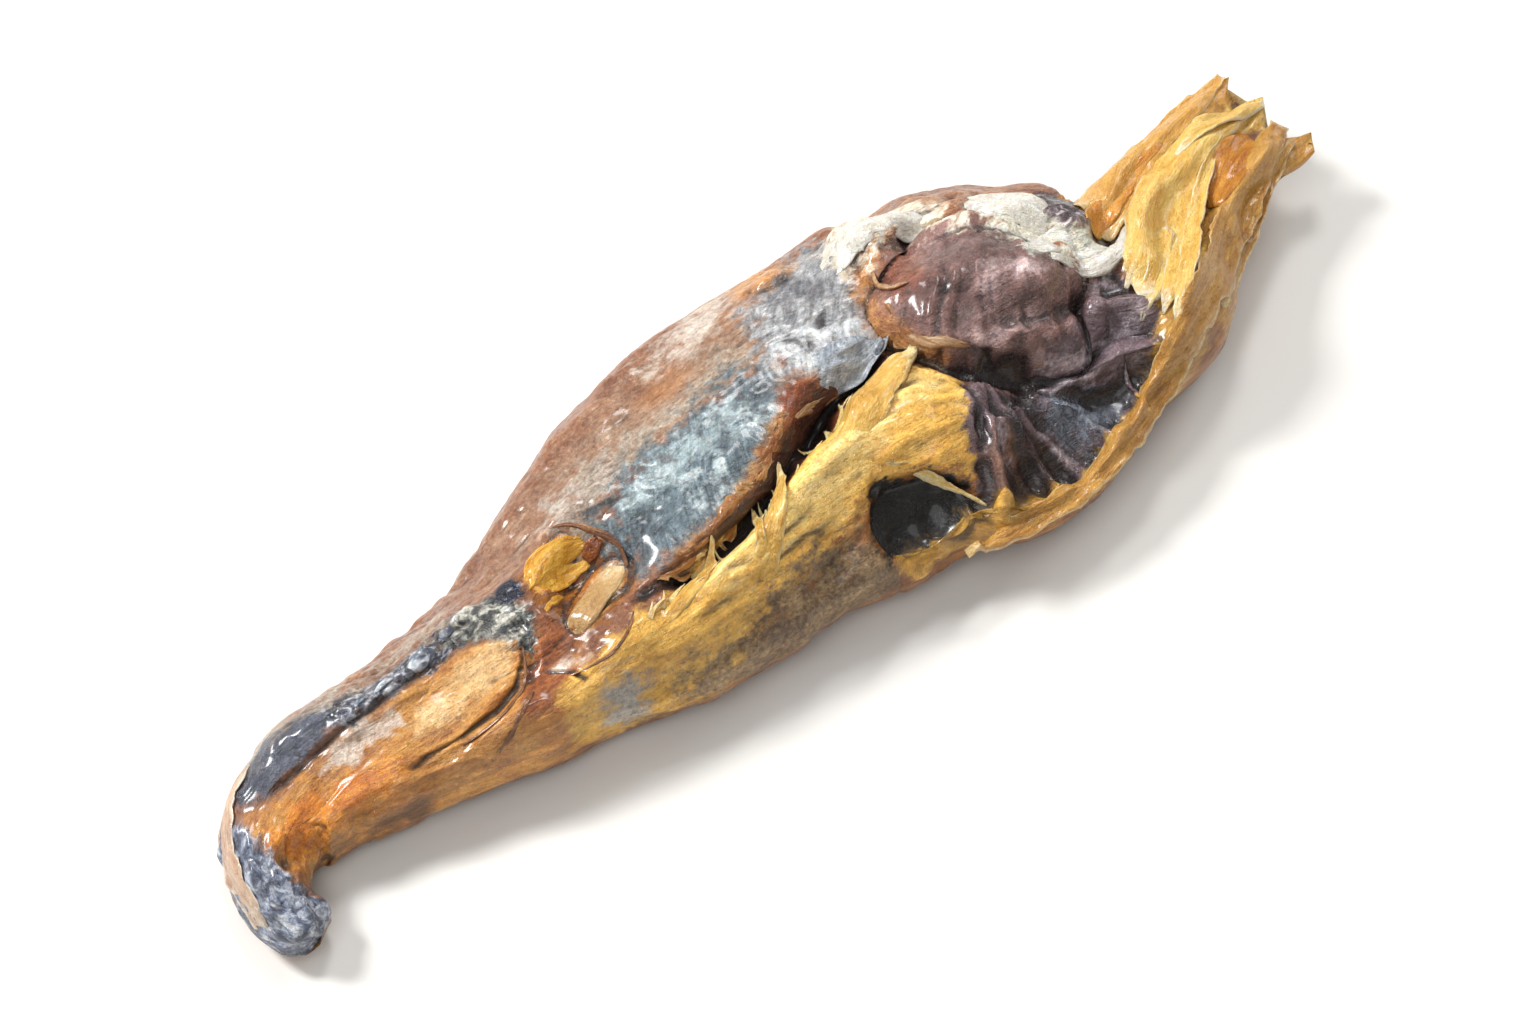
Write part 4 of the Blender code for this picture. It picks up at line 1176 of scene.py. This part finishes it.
# The sheets: piece, material, thickness, how ragged, curled and tilted they are, seed, and for each
# sheet x and y along its middle, half width and lift. All in millimetres.
SHEETS = (
    ("fan_ribbon", "brown", 0.8, 0.5, 0.4, 0.0, 3,
     ((66.6, 5.2, 0.8, 0.2), (62.0, 3.0, 1.5, 0.4), (57.0, 0.7, 1.8, 0.6), (52.0, -2.0, 1.8, 0.7),
      (47.4, -4.8, 1.7, 0.6), (42.6, -7.0, 1.6, 0.4), (37.4, -8.9, 1.5, 0.4), (31.4, -10.8, 1.4, 0.4),
      (25.0, -12.2, 1.3, 0.4), (19.0, -12.4, 1.2, 0.3), (13.4, -11.6, 1.0, 0.2),
      (8.4, -10.8, 0.4, -0.1))),
    ("fan_rim", "brown", 0.6, 0.3, 0.2, 0.0, 4,
     ((65.4, 2.6, 0.4, 0.2), (60.6, 0.6, 0.6, 0.2), (55.4, -2.0, 0.7, 0.1), (50.6, -4.6, 0.7, 0.1),
      (46.6, -7.0, 0.5, 0.0))),
    ("fan_orange", "orange", 0.7, 0.4, 0.3, 0.0, 2,
     ((66.0, 13.2, 0.4, 0.2), (61.6, 12.4, 1.3, 0.3), (56.0, 11.7, 1.9, 0.4), (50.6, 10.4, 2.5, 0.5),
      (45.8, 8.6, 2.9, 0.5), (42.4, 7.4, 2.2, 0.1))),
    ("fan_stripe", "stripe", 0.6, 0.3, 0.1, 0.0, 21,
     ((54.6, 10.4, 0.2, 0.5), (50.3, 9.8, 0.9, 0.7), (46.2, 8.6, 1.4, 0.7), (43.2, 7.4, 1.4, 0.6),
      (41.4, 6.4, 0.6, 0.2))),
    ("fan_amber", "amber", 1.0, 0.2, 0.0, 0.0, 22,
     ((62.8, 5.4, 0.8, 0.0), (60.6, 4.9, 1.9, 0.5), (58.0, 4.0, 2.4, 0.7), (55.6, 2.8, 1.8, 0.5),
      (53.6, 1.6, 0.7, 0.1))),
    ("fan_yellow", "yellow", 0.8, 0.6, 0.1, 0.0, 1,
     ((65.0, 8.0, 0.6, 0.1), (61.6, 8.5, 1.5, 0.3), (58.0, 8.2, 2.3, 0.5), (54.2, 6.8, 2.9, 0.6),
      (50.2, 4.9, 3.4, 0.8), (46.2, 1.9, 3.5, 0.8), (43.0, -0.6, 3.1, 0.6), (40.8, -2.2, 2.0, 0.3),
      (39.2, -3.4, 0.7, 0.1))),
    ("fan_fold", "yellow", 0.7, 0.3, 0.2, 0.0, 14,
     ((60.4, 7.2, 0.2, 0.5), (56.0, 5.2, 0.6, 1.0), (51.6, 2.2, 0.8, 1.3), (47.8, -0.8, 0.9, 1.3),
      (44.8, -3.2, 0.9, 1.0), (42.0, -5.4, 0.7, 0.6), (39.9, -6.8, 0.2, 0.2)),
     ((66.2, 7.6, 0.3, 0.3), (63.7, 8.2, 0.8, 0.7), (61.0, 8.6, 0.9, 1.0), (58.0, 8.8, 0.7, 1.0),
      (54.6, 8.2, 0.2, 0.7))),
    ("fan_frays", "yellow", 0.5, 0.3, 0.1, 0.0, 40,
     ((47.6, 4.4, 0.6, 1.0), (43.6, 2.0, 1.0, 0.9), (41.0, 0.4, 0.8, 0.6), (39.2, -0.6, 0.2, 0.2)),
     ((47.4, 2.2, 0.8, 1.1), (43.4, -0.8, 1.1, 1.0), (40.4, -2.8, 0.9, 0.5), (38.0, -4.0, 0.2, 0.1)),
     ((48.0, 0.4, 0.7, 1.2), (44.0, -2.4, 1.0, 1.0), (41.2, -4.4, 0.7, 0.6), (39.4, -5.4, 0.2, 0.2))),
    ("fan_web", "cream", 0.5, 0.3, 0.1, 0.0, 23,
     ((48.8, 6.8, 0.2, 0.5), (46.0, 5.1, 0.7, 0.6), (42.8, 3.3, 0.9, 0.6), (39.6, 2.7, 1.0, 0.5),
      (37.0, 3.7, 0.8, 0.3), (34.8, 5.6, 0.3, 0.0))),
    ("skin_tongue", "silver", 0.6, 0.4, 0.1, -0.3, 5,
     ((7.6, 13.6, 0.8, -0.8), (9.4, 12.0, 1.6, -0.2), (11.2, 11.0, 2.0, 0.4), (13.2, 10.4, 1.9, 0.6),
      (15.2, 10.2, 1.4, 0.5), (17.0, 10.4, 0.6, 0.1))),
    ("skin_edge", "rim", 0.4, 0.9, 0.1, -0.3, 6,
     ((-17.0, 5.0, 0.4, 0.0), (-13.6, 4.6, 0.8, 0.1), (-10.4, 4.8, 0.5, 0.1), (-7.0, 5.4, 0.9, 0.2),
      (-3.6, 6.2, 0.4, 0.1), (-0.4, 7.6, 0.8, 0.2), (2.4, 9.0, 0.5, 0.1), (4.8, 11.0, 0.4, 0.0))),
    ("flap_spikes", "gold", 0.9, 0.3, 0.1, 0.0, 7,
     ((-9.6, -2.2, 0.8, -0.7), (-7.4, -0.8, 1.2, 0.1), (-4.6, 1.3, 1.0, 0.8), (-2.0, 3.6, 0.6, 1.4),
      (0.2, 6.2, 0.12, 1.9)),
     ((-7.6, 0.0, 0.6, 0.3), (-6.4, 1.6, 0.5, 0.8), (-5.2, 3.4, 0.3, 1.0), (-4.4, 4.8, 0.1, 1.0)),
     ((-19.0, 0.8, 0.9, -0.7), (-15.4, 1.4, 1.1, 0.2), (-11.6, 2.8, 0.7, 0.8),
      (-9.8, 4.4, 0.15, 1.2))),
    ("flap_corner", "gold", 0.9, 0.5, 0.2, 0.0, 9,
     ((5.0, 2.4, 1.4, -0.7), (9.0, 4.3, 2.0, 0.3), (13.8, 6.2, 1.8, 0.6), (17.4, 6.6, 0.8, 0.6))),
    ("flap_lines", "gold", 0.5, 0.1, 0.0, 0.0, 24,
     ((7.4, -0.8, 0.1, 0.1), (9.2, -2.0, 0.16, 0.3), (10.8, -3.8, 0.18, 0.6), (12.2, -6.0, 0.16, 0.6),
      (13.6, -8.6, 0.1, 0.1)),
     ((-13.0, 3.6, 0.2, 0.1), (-11.6, 3.9, 0.5, 0.4), (-10.2, 3.7, 0.2, 0.2))),
    ("innards_rim", "rim", 0.5, 0.6, 0.1, 0.0, 10,
     ((18.7, 13.6, 0.2, -0.1), (18.0, 10.4, 0.5, 0.1), (18.1, 7.6, 0.5, 0.2), (18.9, 5.2, 0.2, 0.0))),
    ("innards_lines", "line", 0.4, 0.1, 0.0, 0.0, 25,
     ((20.9, 16.2, 0.1, 0.2), (20.1, 14.4, 0.25, 0.5), (20.0, 12.6, 0.25, 0.5),
      (21.4, 11.7, 0.1, 0.3)),
     ((18.2, 8.2, 0.1, 0.4), (18.8, 6.2, 0.3, 0.6), (20.2, 4.6, 0.3, 0.6), (21.8, 3.2, 0.1, 0.3))),
    ("gold_folds", "glaze", 0.5, 0.4, 0.15, 0.0, 50,
     ((-26.4, 12.2, 0.5, -0.2), (-24.6, 13.0, 1.0, 0.1), (-22.4, 13.6, 1.2, 0.15),
      (-20.0, 13.6, 0.9, 0.1), (-18.0, 13.1, 0.3, -0.1)),
     ((-26.0, 10.7, 0.4, -0.2), (-23.8, 11.4, 0.8, 0.05), (-21.6, 11.8, 0.8, 0.1),
      (-19.6, 11.6, 0.3, -0.1)),
     ((-27.0, 9.1, 0.2, -0.1), (-25.1, 9.7, 0.4, 0.0), (-23.0, 10.1, 0.2, 0.0))),
    ("gold_knot", "knot", 0.8, 0.2, 0.0, 0.0, 26,
     ((-19.4, 11.8, 0.4, 0.0), (-18.3, 12.0, 0.8, 0.15), (-17.4, 12.2, 0.4, 0.0))),
    ("tan_lobe", "tan", 0.9, 0.06, 0.0, 0.0, 15,
     ((-26.0, 5.8, 0.3, -0.4), (-25.2, 6.1, 1.0, -0.1), (-23.6, 6.6, 1.35, 0.1),
      (-21.4, 7.5, 1.4, 0.15), (-19.2, 8.3, 1.3, 0.1), (-17.9, 8.8, 0.9, -0.1),
      (-17.2, 9.1, 0.3, -0.4))),
    ("plate_lines", "crease", 0.4, 0.15, 0.0, 0.0, 27,
     ((-20.8, 16.2, 0.08, -0.1), (-18.6, 14.8, 0.2, 0.0), (-17.2, 12.6, 0.28, 0.1),
      (-16.5, 10.2, 0.2, 0.0), (-17.2, 8.1, 0.08, -0.1)),
     ((-29.4, 2.7, 0.1, -0.1), (-26.4, 1.6, 0.16, 0.0), (-24.3, 1.3, 0.2, 0.05),
      (-22.2, 1.9, 0.16, 0.0), (-20.0, 3.6, 0.08, -0.1))),
    ("cheek_lines", "crease", 0.4, 0.1, 0.0, 0.0, 28,
     ((-30.2, 7.8, 0.1, 0.0), (-31.8, 5.6, 0.2, 0.05), (-35.2, 3.8, 0.2, 0.1), (-38.6, 3.8, 0.16, 0.0),
      (-40.4, 4.2, 0.1, 0.0)),
     ((-32.4, 3.6, 0.1, 0.0), (-34.6, 2.6, 0.22, 0.1), (-36.5, 1.9, 0.22, 0.1),
      (-39.0, 1.7, 0.1, 0.0))),
    ("cream_fat", "cream", 0.35, 1.0, 0.0, 0.0, 60,
     ((18.6, 19.4, 1.0, 0.0), (21.0, 21.0, 2.2, 0.0), (24.0, 21.2, 2.6, 0.1), (26.8, 19.4, 2.0, 0.1),
      (28.4, 17.0, 0.9, 0.0)),
     ((32.6, 16.4, 1.0, 0.1), (34.8, 14.6, 1.9, 0.2), (37.0, 12.0, 1.9, 0.2), (38.0, 9.4, 1.0, 0.0)),
     ((34.2, 8.4, 0.8, 0.1), (36.6, 7.0, 1.7, 0.2), (39.0, 5.2, 1.4, 0.2), (41.0, 4.2, 0.6, 0.2))),
    ("hole_fibre", "line", 0.35, 0.05, 0.0, 0.0, 13,
     ((4.4, 9.1, 0.12, 0.4), (6.4, 9.4, 0.2, 1.1), (8.4, 9.4, 0.2, 1.1), (10.4, 9.2, 0.1, 0.4))),
    ("stub_rim", "stub", 0.5, 0.4, 0.1, 0.0, 16,
     ((-56.0, 16.6, 0.3, 0.0), (-58.8, 15.7, 0.6, 0.2), (-61.4, 13.6, 0.7, 0.3),
      (-63.4, 10.4, 0.7, 0.3), (-64.4, 6.8, 0.6, 0.2), (-64.7, 3.2, 0.3, 0.0))),
    # Beads painted as glints along the back ridge; the last one is a painted glint on the skin's tongue.
    ("ridge_beads", "glint_bead", 0.8, 0.2, 0.0, 0.0, 90,
     ((-39.9, 12.7, 0.3, -0.2), (-39.0, 12.9, 0.8, 0.1), (-37.8, 13.0, 0.75, 0.1),
      (-36.8, 13.0, 0.3, -0.2)),
     ((-43.8, 13.0, 0.2, -0.2), (-42.6, 13.1, 0.5, 0.1), (-41.4, 13.2, 0.2, -0.2)),
     ((-46.2, 13.2, 0.2, -0.2), (-45.2, 13.3, 0.4, 0.1), (-44.2, 13.2, 0.2, -0.2)),
     ((-35.8, 13.4, 0.2, -0.2), (-34.9, 13.5, 0.5, 0.1), (-34.0, 13.4, 0.2, -0.2)),
     ((14.8, 9.2, 0.2, 0.5), (15.7, 9.5, 0.45, 0.7), (16.6, 9.8, 0.2, 0.5))),
)


# Pieces of many torn fibres: piece, material, thickness, how ragged, seed, and then what frays takes.
FLAP_CREST = ((-20, 1.6), (-12, 1.8), (-4, 2.6), (3, 4.4), (9, 6.4))
SLIT_EDGE = ((-16, 5.6), (-8, 5.8), (-2, 7.4), (4, 10.4))
FIBRES = (
    ("flap_fibres", "gold", 0.3, 0.08, 70, FLAP_CREST, 30, 3.0, 28.0, 30.0, 0.30, 0.8, 201),
    ("slit_fibres", "rim", 0.25, 0.08, 80, SLIT_EDGE, 16, 2.4, -40.0, 35.0, 0.28, 0.5, 202),
)


def add_shreds(grid):
    """All the loose and raised strips on the body."""
    ground = Ground(grid)
    materials = {key: sheet_material("sheet_" + key, *made) for key, made in SHEET_MATERIALS.items()}
    for name, material, thickness, ragged, curl, tilt, seed, *many_rows in SHEETS:
        add_sheets(name, ground, many_rows, materials[material], thickness, ragged, curl, tilt, seed)
    for name, material, thickness, ragged, seed, *drawn in FIBRES:
        add_sheets(name, ground, frays(*drawn), materials[material], thickness, ragged, 0.0, 0.0, seed)


# The camera looks from the photograph's side: the fish runs from the lower left to the upper right.
AZIMUTH = math.radians(-41.0)
ELEVATION = math.radians(60.0)
LENS = 100.0
DISTANCE = 0.41
AIM = Vector((-0.0035, -0.0020, 0.007))


def towards(azimuth, elevation):
    """The direction from the fish to something at this azimuth and elevation."""
    return Vector((
        math.sin(azimuth) * math.cos(elevation),
        -math.cos(azimuth) * math.cos(elevation),
        math.sin(elevation),
    ))


def add_camera():
    data = bpy.data.cameras.new("camera")
    data.lens = LENS
    camera = bpy.data.objects.new("camera", data)
    back = towards(AZIMUTH, ELEVATION)
    camera.location = AIM + back * DISTANCE
    camera.rotation_euler = (-back).to_track_quat("-Z", "Y").to_euler()
    bpy.context.scene.collection.objects.link(camera)
    bpy.context.scene.camera = camera


# Softboxes: azimuth and elevation in degrees, distance and width in metres, power in watts.
SOFTBOXES = (
    (-150.0, 44.0, 0.60, 0.14, 3.9),     # key, from the upper left of the view
    (-60.0, 62.0, 0.70, 0.45, 1.5),      # fill, from the front
    (95.0, 35.0, 0.60, 0.25, 0.9),       # rim, from the right
    (142.0, 58.0, 0.60, 0.12, 1.1),      # from behind, for glints on wet spots
)
WORLD_STRENGTH = 0.30
FLOOR_SIZE = 4.0
FLOOR_PATCHES = ((9.0, 9.0, 9.0), 3.0)    # patches to the metre along each axis, detail
FLOOR_ROUGHNESS = 0.65
FLOOR_COLOURS = "d9d7d2 dedcd8 e2e0dc e5e3df"


def add_light():
    for azimuth, elevation, distance, width, power in SOFTBOXES:
        data = bpy.data.lights.new("softbox", "AREA")
        data.size = width
        data.energy = power
        light = bpy.data.objects.new("softbox", data)
        out = towards(math.radians(azimuth), math.radians(elevation))
        light.location = out * distance
        light.rotation_euler = (-out).to_track_quat("-Z", "Y").to_euler()
        bpy.context.scene.collection.objects.link(light)
    world = bpy.data.worlds.new("studio")
    world.use_nodes = True
    background = world.node_tree.nodes["Background"]
    background.inputs["Color"].default_value = (1.0, 0.99, 0.97, 1.0)
    background.inputs["Strength"].default_value = WORLD_STRENGTH
    bpy.context.scene.world = world
    bpy.context.scene.view_settings.view_transform = "Standard"


def add_floor():
    graph = Graph("floor")
    places = graph.node("ShaderNodeTexCoord", {}).outputs["Object"]
    patches = graph.noise(places, *FLOOR_PATCHES)
    graph.feed(graph.shader.inputs["Base Color"], graph.ramp(patches, FLOOR_COLOURS))
    graph.shader.inputs["Roughness"].default_value = FLOOR_ROUGHNESS
    half = 0.5 * FLOOR_SIZE
    corners = [(-half, -half, 0), (half, -half, 0), (half, half, 0), (-half, half, 0)]
    mesh = bpy.data.meshes.new("floor")
    mesh.from_pydata(corners, [], [(0, 1, 2, 3)])
    mesh.materials.append(graph.material)
    floor = bpy.data.objects.new("floor", mesh)
    bpy.context.scene.collection.objects.link(floor)


body_grid, body_straight, body_values = body_surface()
body_faces = ring_faces(ROWS, POINTS_ABOVE + POINTS_BELOW)
body_values = {"straight": body_straight, **body_values}
body = add_piece("fish_body", body_grid, body_faces, body_material(), body_values)
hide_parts("dried_fish")
add_shreds(body_grid)
add_camera()
add_light()
add_floor()
